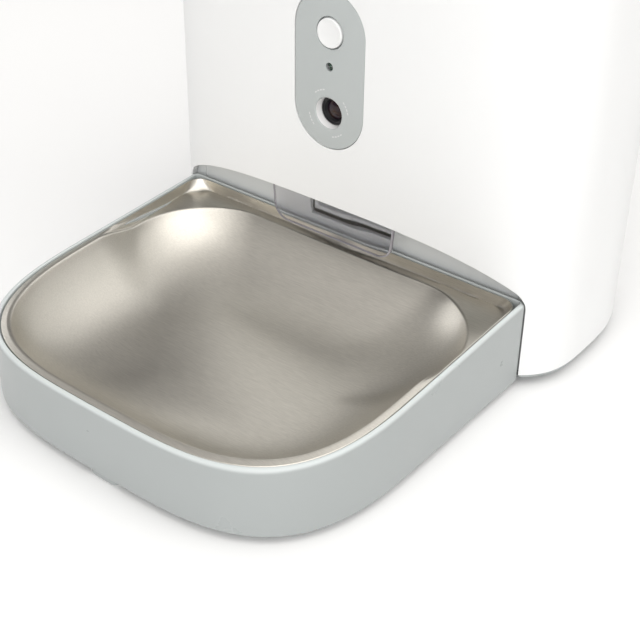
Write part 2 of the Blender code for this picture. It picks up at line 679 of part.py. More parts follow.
def hopper():
    """The food hopper: a rim that rests on the shell, upright walls, a funnel and the wheel's ring."""
    points = 56
    bottom = WHEEL_FLOOR_Z + FLOOR_PLATE + GAP
    ring_top = bottom + HOPPER_RING_HEIGHT
    funnel_top = ring_top + HOPPER_FUNNEL_HEIGHT
    top = SHELL_TOP - 1.2 * MM - HOPPER_WALL

    def circle(z):
        angles = [2 * math.pi * i / points for i in range(points)]
        return [(RING_RADIUS * math.cos(a), WHEEL_Y + RING_RADIUS * math.sin(a), z) for a in angles]

    flange = [(x, y, top) for x, y in body_outline(SHELL_WALL + GAP, points)]
    rings = [circle(bottom), circle(ring_top), hopper_outline(funnel_top, points),
             hopper_outline(top, points), flange]
    loft("hopper", rings, "white_plastic", wall=HOPPER_WALL, closed=False)


def dispenser_floor():
    """The plate under the wheel, with the outlet over the chute and a bearing for the shaft."""
    plate = rod("dispenser_floor", (0, WHEEL_Y, WHEEL_FLOOR_Z), "Z", FLOOR_PLATE, RING_RADIUS,
                "white_plastic", sides=56)
    boss = rod("floor_boss", (0, WHEEL_Y, WHEEL_FLOOR_Z - 5 * MM), "Z", 6 * MM,
               SHAFT_RADIUS + BEARING_WALL)
    bore = rod("floor_bore", (0, WHEEL_Y, WHEEL_FLOOR_Z - 10 * MM), "Z", 20 * MM, SHAFT_RADIUS + GAP)
    outlet = box("outlet", (-OUTLET_HALF_WIDTH, OUTLET_Y, WHEEL_FLOOR_Z - 5 * MM),
                 (OUTLET_HALF_WIDTH, OUTLET_BACK_Y, WHEEL_FLOOR_Z + 10 * MM))
    join(plate, boss)
    cut(plate, bore, outlet)


def wheel_place(piece):
    """Puts a turning piece's origin on the wheel's axis."""
    piece.data.transform(Matrix.Translation((0, -WHEEL_Y, 0)))
    piece.location = (0, WHEEL_Y, 0)


def dispensing_wheel():
    """The vaned wheel that carries kibble round to the outlet, its shaft and its gear."""
    low = WHEEL_FLOOR_Z + FLOOR_PLATE + FIT
    wheel = rod("dispensing_wheel", (0, WHEEL_Y, low), "Z", WHEEL_HEIGHT + 3 * MM, HUB_RADIUS, "grey_plastic",
                end_radius=HUB_RADIUS - 2 * MM)
    wheel_place(wheel)
    for i in range(WHEEL_VANES):
        vane = box(f"vane_{i}", (SHAFT_RADIUS + 2 * MM, -VANE / 2, low + 0.2 * MM),
                   (WHEEL_RADIUS, VANE / 2, low + WHEEL_HEIGHT))
        turn = Matrix.Rotation(math.radians(360 * i / WHEEL_VANES + 15), 4, "Z")
        vane.matrix_world = Matrix.Translation((0, WHEEL_Y, 0)) @ turn
        join(wheel, vane)
    bore_depth = WHEEL_HEIGHT - 2 * MM
    cut(wheel, rod("wheel_bore", (0, WHEEL_Y, low - 5 * MM), "Z", bore_depth + 5 * MM, SHAFT_RADIUS + GAP))
    shaft_low = GEAR_TOP - GEAR_WIDTH - 2 * MM
    shaft = rod("wheel_shaft", (0, WHEEL_Y, shaft_low), "Z", low + bore_depth - GAP - shaft_low, SHAFT_RADIUS,
                "steel")
    wheel_place(shaft)
    gear = slab("wheel_gear", gear_outline(GEAR_TEETH, PINION_ANGLE), GEAR_TOP - GEAR_WIDTH, GEAR_TOP,
                "white_plastic")
    gear.location = (0, WHEEL_Y, 0)
    cut(gear, rod("gear_bore", (0, WHEEL_Y, GEAR_TOP - 10 * MM), "Z", 20 * MM, SHAFT_RADIUS + GAP))


def drive_motor():
    """The gear motor, its shaft and the pinion that turns the wheel's gear."""
    phase = PINION_ANGLE + math.pi + math.pi / PINION_TEETH
    pinion = slab("motor_pinion", gear_outline(PINION_TEETH, phase), GEAR_TOP - GEAR_WIDTH, GEAR_TOP,
                  "brass")
    pinion.location = (PINION_X, PINION_Y, 0)
    bore = rod("pinion_bore", (PINION_X, PINION_Y, GEAR_TOP - 10 * MM), "Z", 20 * MM,
               MOTOR_SHAFT_RADIUS + GAP)
    cut(pinion, bore)
    top = GEAR_TOP - GEAR_WIDTH - 2.5 * MM
    width, depth, height = MOTOR_SIZE
    low = (PINION_X - width / 2, BAY_FRONT_Y - FIT - depth, top - height)
    high = (PINION_X + width / 2, BAY_FRONT_Y - FIT, top)
    motor = box("gear_motor", low, high, "dark_plastic")
    cut(motor, rod("motor_bore", (PINION_X, PINION_Y, top - 6 * MM), "Z", 12 * MM, MOTOR_SHAFT_RADIUS + GAP))
    shaft_low = top - 6 * MM + GAP
    shaft = rod("motor_shaft", (PINION_X, PINION_Y, shaft_low), "Z", GEAR_TOP - shaft_low, MOTOR_SHAFT_RADIUS,
                "steel", sides=24)
    shaft.data.transform(Matrix.Translation((-PINION_X, -PINION_Y, 0)))
    shaft.location = (PINION_X, PINION_Y, 0)


def battery_bay():
    """The bay over the cells, open below, with the cells, their contacts and the cover."""
    low = SHELL_Z
    roof = BAY_ROOF_Z
    bay = box("battery_bay", (-BAY_HALF_LENGTH - BAY_WALL, BAY_Y - BAY_HALF_DEPTH - BAY_WALL, low),
              (BAY_HALF_LENGTH + BAY_WALL, BAY_Y + BAY_HALF_DEPTH + BAY_WALL, roof + BAY_WALL),
              "grey_plastic")
    cut(bay, box("bay_inside", (-BAY_HALF_LENGTH, BAY_Y - BAY_HALF_DEPTH, low - 5 * MM),
                 (BAY_HALF_LENGTH, BAY_Y + BAY_HALF_DEPTH, roof)))
    for i in range(CELL_COUNT):
        start = -CELL_LENGTH * CELL_COUNT / 2 + i * CELL_LENGTH
        cell = rod(f"battery_{i + 1}", (start + 0.2 * MM, BAY_Y, CELL_Z), "X", CELL_LENGTH - 2.2 * MM,
                   CELL_RADIUS - 0.2 * MM, "battery")
        nub = rod(f"cell_nub_{i}", (start + CELL_LENGTH - 4 * MM, BAY_Y, CELL_Z), "X", 3.8 * MM, 4.5 * MM)
        join(cell, nub)
    for side, label in ((-1, "negative"), (1, "positive")):
        near = side * (CELL_LENGTH * CELL_COUNT / 2 + 0.2 * MM)
        far = side * (BAY_HALF_LENGTH - 0.2 * MM)
        box(f"battery_contact_{label}", (min(near, far), BAY_Y - 6 * MM, CELL_Z - 8 * MM),
            (max(near, far), BAY_Y + 6 * MM, CELL_Z + 8 * MM), "steel")
    box("battery_cover", (-BAY_HALF_LENGTH + 0.4 * MM, BAY_Y - BAY_HALF_DEPTH + 0.4 * MM, BASE_Z),
        (BAY_HALF_LENGTH - 0.4 * MM, BAY_Y + BAY_HALF_DEPTH - 0.4 * MM, BASE_Z + BASE_THICKNESS),
        "grey_plastic")


def electronics():
    """The main board over the battery bay, the speaker and the power inlet at the back."""
    board_z = BAY_ROOF_Z + BAY_WALL + 3.5 * MM
    box("main_board", (-90 * MM, BAY_Y - 30 * MM, board_z),
        (-30 * MM, BAY_Y + 16 * MM, board_z + 1.6 * MM), "board")
    chip_z = board_z + 1.6 * MM + GAP
    box("wifi_module", (-84 * MM, BAY_Y - 20 * MM, chip_z),
        (-66 * MM, BAY_Y + 5 * MM, chip_z + 3 * MM), "steel")
    speaker_y = back_y_at(SPEAKER_X + SPEAKER_RADIUS, SHELL_WALL) - 10 * MM
    magnet = rod("speaker", (SPEAKER_X, speaker_y, SPEAKER_Z), "Y", 4 * MM, SPEAKER_RADIUS * 0.55,
                 "dark_plastic")
    cone = rod("speaker_cone", (SPEAKER_X, speaker_y + 3.5 * MM, SPEAKER_Z), "Y", 5.5 * MM,
               SPEAKER_RADIUS * 0.6, end_radius=SPEAKER_RADIUS)
    join(magnet, cone)
    face_y = INLET_FACE_Y
    inlet = box("power_inlet", (INLET_X - INLET_HALF[0], face_y - INLET_DEPTH, INLET_Z - INLET_HALF[1]),
                (INLET_X + INLET_HALF[0], face_y, INLET_Z + INLET_HALF[1]), "dark_plastic")
    cut(inlet, rod("inlet_bore", (INLET_X, face_y - 9 * MM, INLET_Z), "Y", 20 * MM, 2.9 * MM))
    rod("inlet_pin", (INLET_X, face_y - 9 * MM + GAP, INLET_Z), "Y", 8 * MM, 1.0 * MM, "steel", sides=16)


def lid():
    """The lift-off lid: a shallow cap with a rounded edge, with a slot for the latch."""
    rings = []
    steps = 4
    for z in (LID_Z, LID_TOP - LID_EDGE_RADIUS):
        rings.append([(x, y, z) for x, y in body_outline()])
    for i in range(1, steps + 1):
        angle = math.radians(90 * i / steps)
        inset = LID_EDGE_RADIUS * (1 - math.cos(angle))
        z = LID_TOP - LID_EDGE_RADIUS * (1 - math.sin(angle))
        rings.append([(x, y, z) for x, y in body_outline(inset)])
    cap = loft("lid", rings, "white_plastic", wall=LID_WALL)
    cut(cap, box("latch_slot", (-LATCH_HALF_WIDTH - FIT, LATCH_Y - FIT, LID_TOP - 10 * MM),
                 (LATCH_HALF_WIDTH + FIT, LATCH_Y + LATCH_LENGTH + LATCH_TRAVEL + FIT, LID_TOP + 5 * MM)))


LATCH_HALF_WIDTH = 13.0 * MM
LATCH_Y = FRONT_Y + 16.0 * MM
LATCH_LENGTH = 12.0 * MM
LATCH_TRAVEL = 5.0 * MM
LATCH_WALL = 2.0 * MM


def lid_latch():
    """The sprung thumb slide in the lid. It slides back to free its tongue from the hopper's rim."""
    pad = box("lid_latch", (-LATCH_HALF_WIDTH, LATCH_Y, LID_TOP - 5 * MM),
              (LATCH_HALF_WIDTH, LATCH_Y + LATCH_LENGTH, LID_TOP - 0.3 * MM), "grey_plastic")
    leg = box("latch_leg", (-8 * MM, LATCH_Y + MM, SHELL_TOP + MM),
              (8 * MM, LATCH_Y + MM + LATCH_WALL, LID_TOP - 4 * MM))
    tongue = box("latch_tongue", (-8 * MM, LATCH_Y - 4 * MM, SHELL_TOP + MM),
                 (8 * MM, LATCH_Y + 2 * MM, SHELL_TOP + 3 * MM))
    join(pad, leg, tongue)


def lid_seal():
    """The soft seal between the lid and the hopper's rim."""
    low = SHELL_TOP - 0.9 * MM
    seal = slab("lid_seal", body_outline(SHELL_WALL + 1.2 * MM), low, low + 2.4 * MM, "rubber")
    cut(seal, slab("seal_inside", body_outline(SHELL_WALL + 4.6 * MM), low - 5 * MM, low + 10 * MM))


def desiccant_holder():
    """The cup under the lid for a drying bag, and its twist-off grille."""
    top = LID_TOP - LID_WALL - GAP
    low = top - DRY_DEPTH
    centre = (0, BODY_CENTRE_Y + 12 * MM)
    cup = rod("desiccant_cup", (*centre, low), "Z", DRY_DEPTH, DRY_RADIUS, "white_plastic", sides=48)
    cut(cup, rod("cup_inside", (*centre, low - 5 * MM), "Z", DRY_DEPTH + 5 * MM - DRY_WALL,
                 DRY_RADIUS - DRY_WALL, sides=48))
    box("desiccant_bag", (-16 * MM, centre[1] - 13 * MM, low + 3 * MM),
        (16 * MM, centre[1] + 13 * MM, low + 11 * MM), "bag")
    cap = rod("desiccant_cap", (*centre, low - GAP - 2 * MM), "Z", 2 * MM, DRY_RADIUS + 1.5 * MM,
              "grey_plastic", sides=48)
    cap.data.transform(Matrix.Translation((0, -centre[1], 0)))
    cap.location = (*centre, 0)
    grip = box("cap_grip", (-12 * MM, centre[1] - 1.5 * MM, low - 7 * MM),
               (12 * MM, centre[1] + 1.5 * MM, low - MM))
    join(cap, grip)
    for i in range(-2, 3):
        if i:
            x = i * 8 * MM
            cut(cap, box(f"cap_slot_{i}", (x - 1.2 * MM, centre[1] + 5 * MM, low - 10 * MM),
                         (x + 1.2 * MM, centre[1] + 17 * MM, low + 5 * MM)))


def tray():
    """The grey tray that carries the bowl: floor, wall, ledge, sloping rim and two tongues."""
    body = slab("tray", tray_outline(), TRAY_Z, TRAY_Z + TRAY_RIM_HEIGHT, "grey_plastic")
    slope_top(body, 0.0)
    tongues = [box(f"tongue_{side}", (side * HOOK_X - HOOK_HALF_WIDTH, TRAY_BACK - 2 * MM, HOOK_Z),
                   (side * HOOK_X + HOOK_HALF_WIDTH, TRAY_BACK + HOOK_LENGTH, HOOK_Z + HOOK_THICKNESS))
               for side in (-1, 1)]
    join(body, *tongues)
    cut(body, slab("tray_inside", tray_outline(TRAY_WALL), TRAY_Z + TRAY_FLOOR, TRAY_Z + 80 * MM))
    ledge = slab("tray_ledge", tray_outline(TRAY_RIM_WALL), TRAY_Z + 20 * MM, TRAY_Z + 80 * MM)
    slope_bottom(ledge, LEDGE_DROP)
    cut(body, ledge)


TRAY_FEET = [
    (0.0, TRAY_FRONT + 5.3 * MM, 0),
    (-(TRAY_HALF_WIDTH - 7.5 * MM), TRAY_BACK - 36 * MM, 90),
    (TRAY_HALF_WIDTH - 7.5 * MM, TRAY_BACK - 36 * MM, 90),
]
TRAY_FOOT_HALF = (8.5 * MM, 4.0 * MM)


def tray_feet():
    """Three oblong pads under the tray."""
    half_length, half_width = TRAY_FOOT_HALF
    outline = []
    for start, x in ((-90, half_length - half_width), (90, half_width - half_length)):
        for i in range(11):
            angle = math.radians(start + 18 * i)
            outline.append((x + half_width * math.cos(angle), half_width * math.sin(angle)))
    for i, (x, y, turn) in enumerate(TRAY_FEET):
        foot = slab(f"tray_foot_{i + 1}", outline, 0.0, FOOT_HEIGHT, "grey_plastic")
        foot.location = (x, y, 0)
        foot.rotation_euler = (0, 0, math.radians(turn))


def bowl():
    """The pressed steel bowl: a flange on the tray's ledge, soft walls and a shallow floor."""
    edge = TRAY_RIM_WALL + FIT
    sheet_top = LEDGE_DROP - GAP - BOWL_SHEET
    count = len(tray_outline())

    def blend(inset, basin, drop):
        flange = tray_outline(inset, back_radius=BOWL_OUTER_TURN)
        turn = BOWL_TURN - BOWL_TURN_SHRINK * (inset - edge - BOWL_FLANGE)
        round_basin = tray_outline(inset, back_radius=turn)
        ring_points = []
        for i in range(count):
            x = flange[i][0] * (1 - basin) + round_basin[i][0] * basin
            y = flange[i][1] * (1 - basin) + round_basin[i][1] * basin
            ring_points.append((x, y, rim_z(y) - drop))
        return ring_points

    rings = [blend(edge, 0.0, sheet_top), blend(edge + BOWL_FLANGE, 1.0, sheet_top)]
    steps = 8
    wall_run = 46.0 * MM
    for i in range(1, steps + 1):
        share = i / steps
        inset = edge + BOWL_FLANGE + wall_run * share ** 1.6
        drop = sheet_top + BOWL_DEPTH * math.sin(share * math.pi / 2)
        rings.append(blend(inset, 1.0, drop))
    rings.append(blend(inset + 3 * MM, 1.0, drop))
    loft("bowl", rings, "steel", wall=BOWL_SHEET)


def build():
    """Makes every part."""
    outer_shell()
    base_plate()
    base_screws()
    body_feet()
    recess_panel()
    chute()
    chute_guard()
    camera_panel()
    camera()
    feed_button()
    hopper()
    dispenser_floor()
    dispensing_wheel()
    drive_motor()
    battery_bay()
    electronics()
    lid()
    lid_latch()
    lid_seal()
    desiccant_holder()
    tray()
    tray_feet()
    bowl()


build()
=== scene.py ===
"""Looks of an automatic pet feeder: fine surfaces, finishes and a small studio round its fixed frame.

Metres, +Z up, front towards -Y. The main sizes that the frame doesn't give are properties of the scene.
"""
import math

import bmesh
import bpy
import numpy as np
from bpy.props import FloatProperty, FloatVectorProperty, PointerProperty
from bpy.types import Operator, Panel, PropertyGroup
from mathutils import Matrix, Vector


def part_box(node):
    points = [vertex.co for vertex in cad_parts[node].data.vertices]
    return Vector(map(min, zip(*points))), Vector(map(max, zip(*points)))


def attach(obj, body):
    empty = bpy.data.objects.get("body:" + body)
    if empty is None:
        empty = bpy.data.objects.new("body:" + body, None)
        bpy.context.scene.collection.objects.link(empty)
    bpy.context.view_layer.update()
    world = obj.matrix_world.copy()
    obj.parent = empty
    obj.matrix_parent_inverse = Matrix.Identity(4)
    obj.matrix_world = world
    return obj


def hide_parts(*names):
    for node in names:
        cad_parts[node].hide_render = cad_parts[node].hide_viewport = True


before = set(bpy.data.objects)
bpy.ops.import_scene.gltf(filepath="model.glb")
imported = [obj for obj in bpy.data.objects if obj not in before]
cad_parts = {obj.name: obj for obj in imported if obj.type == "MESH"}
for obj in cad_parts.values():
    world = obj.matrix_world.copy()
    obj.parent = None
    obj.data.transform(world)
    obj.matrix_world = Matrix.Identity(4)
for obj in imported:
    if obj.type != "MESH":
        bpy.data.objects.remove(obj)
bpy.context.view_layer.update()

bl_info = {
    "name": "Pet Feeder Looks",
    "version": (1, 0, 0),
    "blender": (4, 5, 0),
    "location": "3D View > Sidebar > Feeder",
    "description": "Builds the fine surfaces, finishes and studio of an automatic pet feeder",
    "category": "Add Mesh",
}

MM = 0.001
MERGE = 0.001 * MM            # points closer than this are one point
NOISE_RANGE = (0.3, 0.7)      # where most values of a procedural noise lie
FINISHES = {}

# Places read from the frame
SHELL_LOW, SHELL_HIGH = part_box("outer_shell")
LID_LOW, LID_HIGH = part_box("lid")
TRAY_LOW, TRAY_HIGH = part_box("tray")
PANEL_LOW, PANEL_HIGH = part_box("camera_panel")
LENS_LOW, LENS_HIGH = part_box("lens_surround")
BARREL_LOW, BARREL_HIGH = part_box("lens_barrel")
GLASS_LOW, GLASS_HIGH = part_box("lens_glass")
BUTTON_LOW, BUTTON_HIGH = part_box("feed_button")
LIGHT_LOW, LIGHT_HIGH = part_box("status_light")
GUARD_LOW, GUARD_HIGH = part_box("chute_guard")
LATCH_LOW, LATCH_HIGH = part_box("lid_latch")
HOPPER_LOW, HOPPER_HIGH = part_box("hopper")
INLET_LOW, INLET_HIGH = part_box("power_inlet")
SPEAKER_LOW, SPEAKER_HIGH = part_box("speaker")
LENS_Z = (LENS_LOW.z + LENS_HIGH.z) / 2
BUTTON_Z = (BUTTON_LOW.z + BUTTON_HIGH.z) / 2
LIGHT_Z = (LIGHT_LOW.z + LIGHT_HIGH.z) / 2


def length(name, description, millimetres):
    """A length property, with its default given in millimetres."""
    return FloatProperty(name=name, description=description, default=millimetres * MM, unit="LENGTH",
                         precision=5)


def share(name, description, value):
    """A plain number property."""
    return FloatProperty(name=name, description=description, default=value)


def colour(name, description, value):
    """A colour property."""
    return FloatVectorProperty(name=name, description=description, default=value, subtype="COLOR", size=3,
                               min=0.0, max=1.0)


class FeederSizes(PropertyGroup):
    """Sizes that the frame doesn't give by itself."""
    front_depth: length("Front Depth", "Widest line of the housing to its front face", 49.6)
    body_power: share("Body Roundness", "Power of the housing's superellipse", 3.16)
    shell_wall: length("Shell Wall", "Thickness of the housing's wall", 2.5)
    shell_edge: length("Shell Edge", "Rounding of the housing's cut edges", 0.45)
    cut_half_width: length("Opening Half Width", "Half the width of the opening over the tray", 97.3)
    cut_height: length("Opening Height", "Opening's edge above the shell's foot in the middle", 59.0)
    cut_slope: share("Opening Slope", "Drop of the opening's edge for each length towards the back", 1.33)
    cut_corner: length("Opening Corner", "Corner radius of the opening", 4.5)
    panel_gap: length("Panel Gap", "Gap round the camera panel", 0.3)
    lid_wall: length("Lid Wall", "Thickness of the lid", 2.2)
    lid_round: length("Lid Edge", "Rounding of the lid's upper edge", 11.0)
    lid_crown: length("Lid Crown", "Rise of the lid's middle over its edge", 0.6)
    tongue: length("Tray Tongue", "Length of the two tongues behind the tray", 9.0)
    tray_round: length("Tray Round", "Length of the tray's round front", 84.2)
    tray_power_x: share("Tray Roundness X", "Power of the tray's front across its width", 3.66)
    tray_power_y: share("Tray Roundness Y", "Power of the tray's front along its length", 2.93)
    tray_turn: length("Tray Corner", "Radius of the tray's back corners", 3.2)
    rim_height: length("Rim Height", "Front rim above the tray's underside", 32.3)
    rim_slope: share("Rim Slope", "Rise of the rim towards the housing", 0.05)
    rim_wall: length("Rim Wall", "Width of the tray's rim", 2.4)
    rim_round: length("Rim Round", "Rounding of the rim's outer edge", 2.0)
    tray_wall: length("Tray Wall", "Wall under the ledge that carries the bowl", 4.6)
    tray_floor: length("Tray Floor", "Thickness of the tray's floor", 2.5)
    ledge_drop: length("Ledge Drop", "Ledge for the bowl below the rim", 2.0)
    bowl_gap: length("Bowl Gap", "Gap between the rim and the bowl's lip", 0.6)
    bowl_sheet: length("Bowl Sheet", "Thickness of the bowl's sheet", 1.0)
    bowl_depth: length("Bowl Depth", "Bowl's floor below its lip", 25.0)
    bowl_run: length("Bowl Wall Run", "How far the bowl's wall reaches in to the floor", 46.0)
    lip_turn: length("Lip Corner", "Radius of the lip's back corners", 7.0)
    basin_turn: length("Basin Corner", "Radius of the basin's back corners", 40.0)
    basin_edge: length("Basin Edge", "Basin's edge in from the lip", 3.4)
    basin_back: length("Basin Back Edge", "Basin's edge further in at the back", 0.6)
    back_drop: length("Back Drop", "Basin's back edge below the lip", 5.2)
    back_wall: length("Back Wall", "Reach of the bowl's steep wall behind its basin", 4.2)
    back_slim: length("Slim Back Rim", "How much narrower the tray's rim is at the back", 1.3)
    crest: length("Basin Crest", "Rounding of the basin's edge", 1.3)


class FeederColours(PropertyGroup):
    """Colours of the feeder's finishes."""
    white: colour("White Plastic", "Housing, lid and hopper", (0.86, 0.865, 0.865))
    grey: colour("Grey Plastic", "Tray, panel and fittings", (0.375, 0.398, 0.396))
    steel: colour("Bowl Steel", "Pressed steel bowl", (0.68, 0.65, 0.59))
    clear: colour("Clear Plastic", "Flap and light pipe", (0.93, 0.93, 0.97))
    dark: colour("Dark Plastic", "Barrel, inlet, speaker and motor", (0.018, 0.018, 0.020))
    rubber: colour("Rubber", "Feet", (0.25, 0.26, 0.265))


def even_parameter(curve, low, high, count):
    """Parameters that space a curve's points evenly, read off its running chord length."""
    fine = np.linspace(low, high, 20001)
    steps = np.linalg.norm(np.diff(curve(fine), axis=0), axis=1)
    travelled = np.concatenate([[0.0], np.cumsum(steps)])
    return np.interp(np.linspace(0.0, travelled[-1], count), travelled, fine)


def signed_power(value, power):
    """A power that keeps the sign: sign(v) |v|^p."""
    return np.sign(value) * np.abs(value) ** power


def column(value):
    """A value for each row, ready to spread over a row's points."""
    return np.atleast_1d(np.asarray(value, float))[:, None]


def body_plan(sizes, inset, count=320):
    """The housing's plan, a superellipse |x/a|^p + |y/b|^p = 1 with one depth in front and one behind."""
    centre = SHELL_LOW.y + sizes.front_depth
    back = SHELL_HIGH.y - centre
    power = 2 / sizes.body_power

    def curve(angle, drawn_in=0.0):
        depth = np.where(np.sin(angle) > 0, back, sizes.front_depth) - drawn_in
        x = (SHELL_HIGH.x - drawn_in) * signed_power(np.cos(angle), power)
        return np.stack([x, centre + depth * signed_power(np.sin(angle), power)], axis=-1)

    angles = even_parameter(curve, math.pi / 2, math.pi * 5 / 2, count + 1)[:-1]
    return curve(angles[None, :], column(inset))


def front_y(sizes, x):
    """Y of the housing's front face at x."""
    part = 1 - (np.abs(x) / SHELL_HIGH.x) ** sizes.body_power
    return SHELL_LOW.y + sizes.front_depth * (1 - part ** (1 / sizes.body_power))


def tray_back(sizes):
    """Y of the tray's back wall, in front of its tongues."""
    return TRAY_HIGH.y - sizes.tongue


def tray_plan(sizes, inset, turn, front=170, side=40, corner=26, back=60):
    """The tray's plan: a superellipse in front of two straight sides, and back corners of radius turn."""
    inset, turn = column(inset), column(turn)
    half = TRAY_HIGH.x - inset
    straight_y = TRAY_LOW.y + sizes.tray_round
    back_y = tray_back(sizes) - inset
    power_x, power_y = 2 / sizes.tray_power_x, 2 / sizes.tray_power_y

    def front_curve(angle, half=TRAY_HIGH.x, reach=sizes.tray_round):
        x = half * signed_power(np.cos(angle), power_x)
        return np.stack([x, straight_y - reach * np.abs(np.sin(angle)) ** power_y], axis=-1)

    angles = even_parameter(front_curve, 0.0, math.pi, front)[None, :]
    pieces = [front_curve(angles, half, sizes.tray_round - inset)]
    along = np.linspace(0, 1, side + 2)[None, 1:-1]
    side_y = straight_y + (back_y - turn - straight_y) * along
    quarter = np.linspace(math.pi, math.pi / 2, corner)[None, :]
    corner_y = back_y - turn + turn * np.sin(quarter)
    corner_x = -half + turn + turn * np.cos(quarter)
    pieces.append(np.stack([-half + 0 * side_y, side_y], axis=-1))
    pieces.append(np.stack([corner_x, corner_y], axis=-1))
    across = np.linspace(-1, 1, back + 2)[None, 1:-1]
    pieces.append(np.stack([(half - turn) * across, back_y + 0 * across], axis=-1))
    pieces.append(np.stack([-corner_x[:, ::-1], corner_y[:, ::-1]], axis=-1))
    pieces.append(np.stack([half + 0 * side_y, side_y[:, ::-1]], axis=-1))
    return np.concatenate(pieces, axis=1)


def smooth_step(value, low, high):
    """3 t^2 - 2 t^3 between low and high."""
    t = np.clip((value - low) / (high - low), 0, 1)
    return t * t * (3 - 2 * t)


def slimmed(sizes, plan, inset):
    """A plan whose rows shift back near the back corners, by the slim rim's share of each row's inset."""
    back_y = tray_back(sizes)
    shift = sizes.back_slim * np.clip(column(inset) / sizes.rim_wall, 0, 1)
    start, end = 15 * MM, 5 * MM
    near_back = smooth_step(plan[..., 1], back_y - start, back_y - end)
    return np.stack([plan[..., 0], plan[..., 1] + shift * near_back], axis=-1)


def back_fall(sizes, y):
    """How far the bowl's steep wall falls at y: nothing along the front, growing to the back drop."""
    start, end = -40 * MM, 16 * MM
    return sizes.back_drop * smooth_step(y, start, end)


def rim_height(sizes, y):
    """Height of the tray's sloping rim at y."""
    return TRAY_LOW.z + sizes.rim_height + sizes.rim_slope * (y - TRAY_LOW.y)


def arc(centre, radius, start, end, steps=7):
    """Points on an arc in a profile, from one angle in degrees to another."""
    angles = np.radians(np.linspace(start, end, steps))
    return np.stack([centre[0] + radius * np.cos(angles), centre[1] + radius * np.sin(angles)], axis=-1)


def profile(*parts):
    """Joins single points and arcs into one profile, a point in each row."""
    return np.concatenate([np.atleast_2d(np.asarray(part, float)) for part in parts])


def offsets(base, *steps):
    """Profile points given in millimetres from one base point."""
    return np.asarray(base, float) + MM * np.asarray(steps, float)


def points_of(mesh):
    """A mesh's points as rows of x, y and z."""
    points = np.empty(3 * len(mesh.vertices))
    mesh.vertices.foreach_get("co", points)
    return points.reshape(-1, 3)


def paint(mesh, name, values, domain="POINT"):
    """Writes a number at each point or face of a mesh, for its finish to read."""
    mesh.attributes.new(name, "FLOAT", domain).data.foreach_set("value", np.asarray(values, float))


def linked(name, data):
    """A new object of the scene."""
    item = bpy.data.objects.new(name, data)
    bpy.context.scene.collection.objects.link(item)
    return item


def finish_piece(mesh, body, finish, replaced=(), smooth_angle=35):
    """Links a mesh as a piece of the feeder under its own name, with its body and finish."""
    piece = linked(mesh.name, mesh)
    mesh.materials.append(FINISHES[finish])
    mesh.shade_smooth()
    mesh.set_sharp_from_angle(angle=math.radians(smooth_angle))
    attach(piece, body)
    if replaced:
        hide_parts(*replaced)
    return piece


def ring_mesh(name, rings, wrap=False):
    """A closed skin over rings of points, shaped (rows, points, 3).

    Neighbouring rings are joined by quads. The rings either wrap round, last to first, or close in a
    point at the middle of the first and the last ring. The volume's sign turns the faces outwards.
    """
    rings = np.asarray(rings, float)
    rows, count = rings.shape[:2]
    points = rings.reshape(-1, 3)
    index = np.arange(rows * count).reshape(rows, count)
    beside = np.roll(index, -1, axis=1)
    upper = np.roll(index, -1, axis=0) if wrap else index[1:]
    upper_beside = np.roll(upper, -1, axis=1)
    lower, lower_beside = (index, beside) if wrap else (index[:-1], beside[:-1])
    quads = np.stack([lower, lower_beside, upper_beside, upper], axis=-1).reshape(-1, 4)
    triangles = np.zeros((0, 3), int)
    if not wrap:
        poles = np.stack([rings[0].mean(axis=0), rings[-1].mean(axis=0)])
        points = np.concatenate([points, poles])
        first = np.full(count, rows * count)
        triangles = np.concatenate([
            np.stack([first, beside[0], index[0]], axis=-1),
            np.stack([first + 1, index[-1], beside[-1]], axis=-1)])
    corners = points[np.concatenate([quads[:, :3], quads[:, [0, 2, 3]], triangles])]
    if np.einsum("ij,ij->i", corners[:, 0], np.cross(corners[:, 1], corners[:, 2])).sum() < 0:
        quads, triangles = quads[:, ::-1], triangles[:, ::-1]
    mesh = bpy.data.meshes.new(name)
    mesh.from_pydata(points.tolist(), [], quads.tolist() + triangles.tolist())
    return mesh


def carried(name, plan, heights, wrap=True):
    """A profile carried round a plan of (rows, points, 2), with a height for each row or point."""
    heights = np.broadcast_to(heights, plan.shape[:2])
    return ring_mesh(name, np.concatenate([plan, heights[..., None]], axis=-1), wrap)


def shrunk(plan, scales):
    """Copies of one closed plan, shrunk towards its middle: c + s (p - c)."""
    middle = plan.mean(axis=0)
    return middle + column(scales)[..., None] * (plan - middle)


AXES = {"X": (2, 0, 1), "Y": (0, 2, 1), "Z": (0, 1, 2)}


def laid(points, axis):
    """Turns points worked out on +Z to lie along another axis."""
    return points[..., list(AXES[axis])]


def turned(name, outline, centre, axis="Z", count=96, wrap=False):
    """A turned shape: a profile of radius and height swept round an axis, (r cos t, r sin t, h)."""
    outline = np.asarray(outline, float)
    angles = np.linspace(0, 2 * math.pi, count, endpoint=False)[None, :]
    radius, height = outline[:, :1], outline[:, 1:]
    rings = np.stack([radius * np.cos(angles), radius * np.sin(angles), height + 0 * angles], axis=-1)
    return ring_mesh(name, laid(rings, axis) + np.asarray(centre, float), wrap)


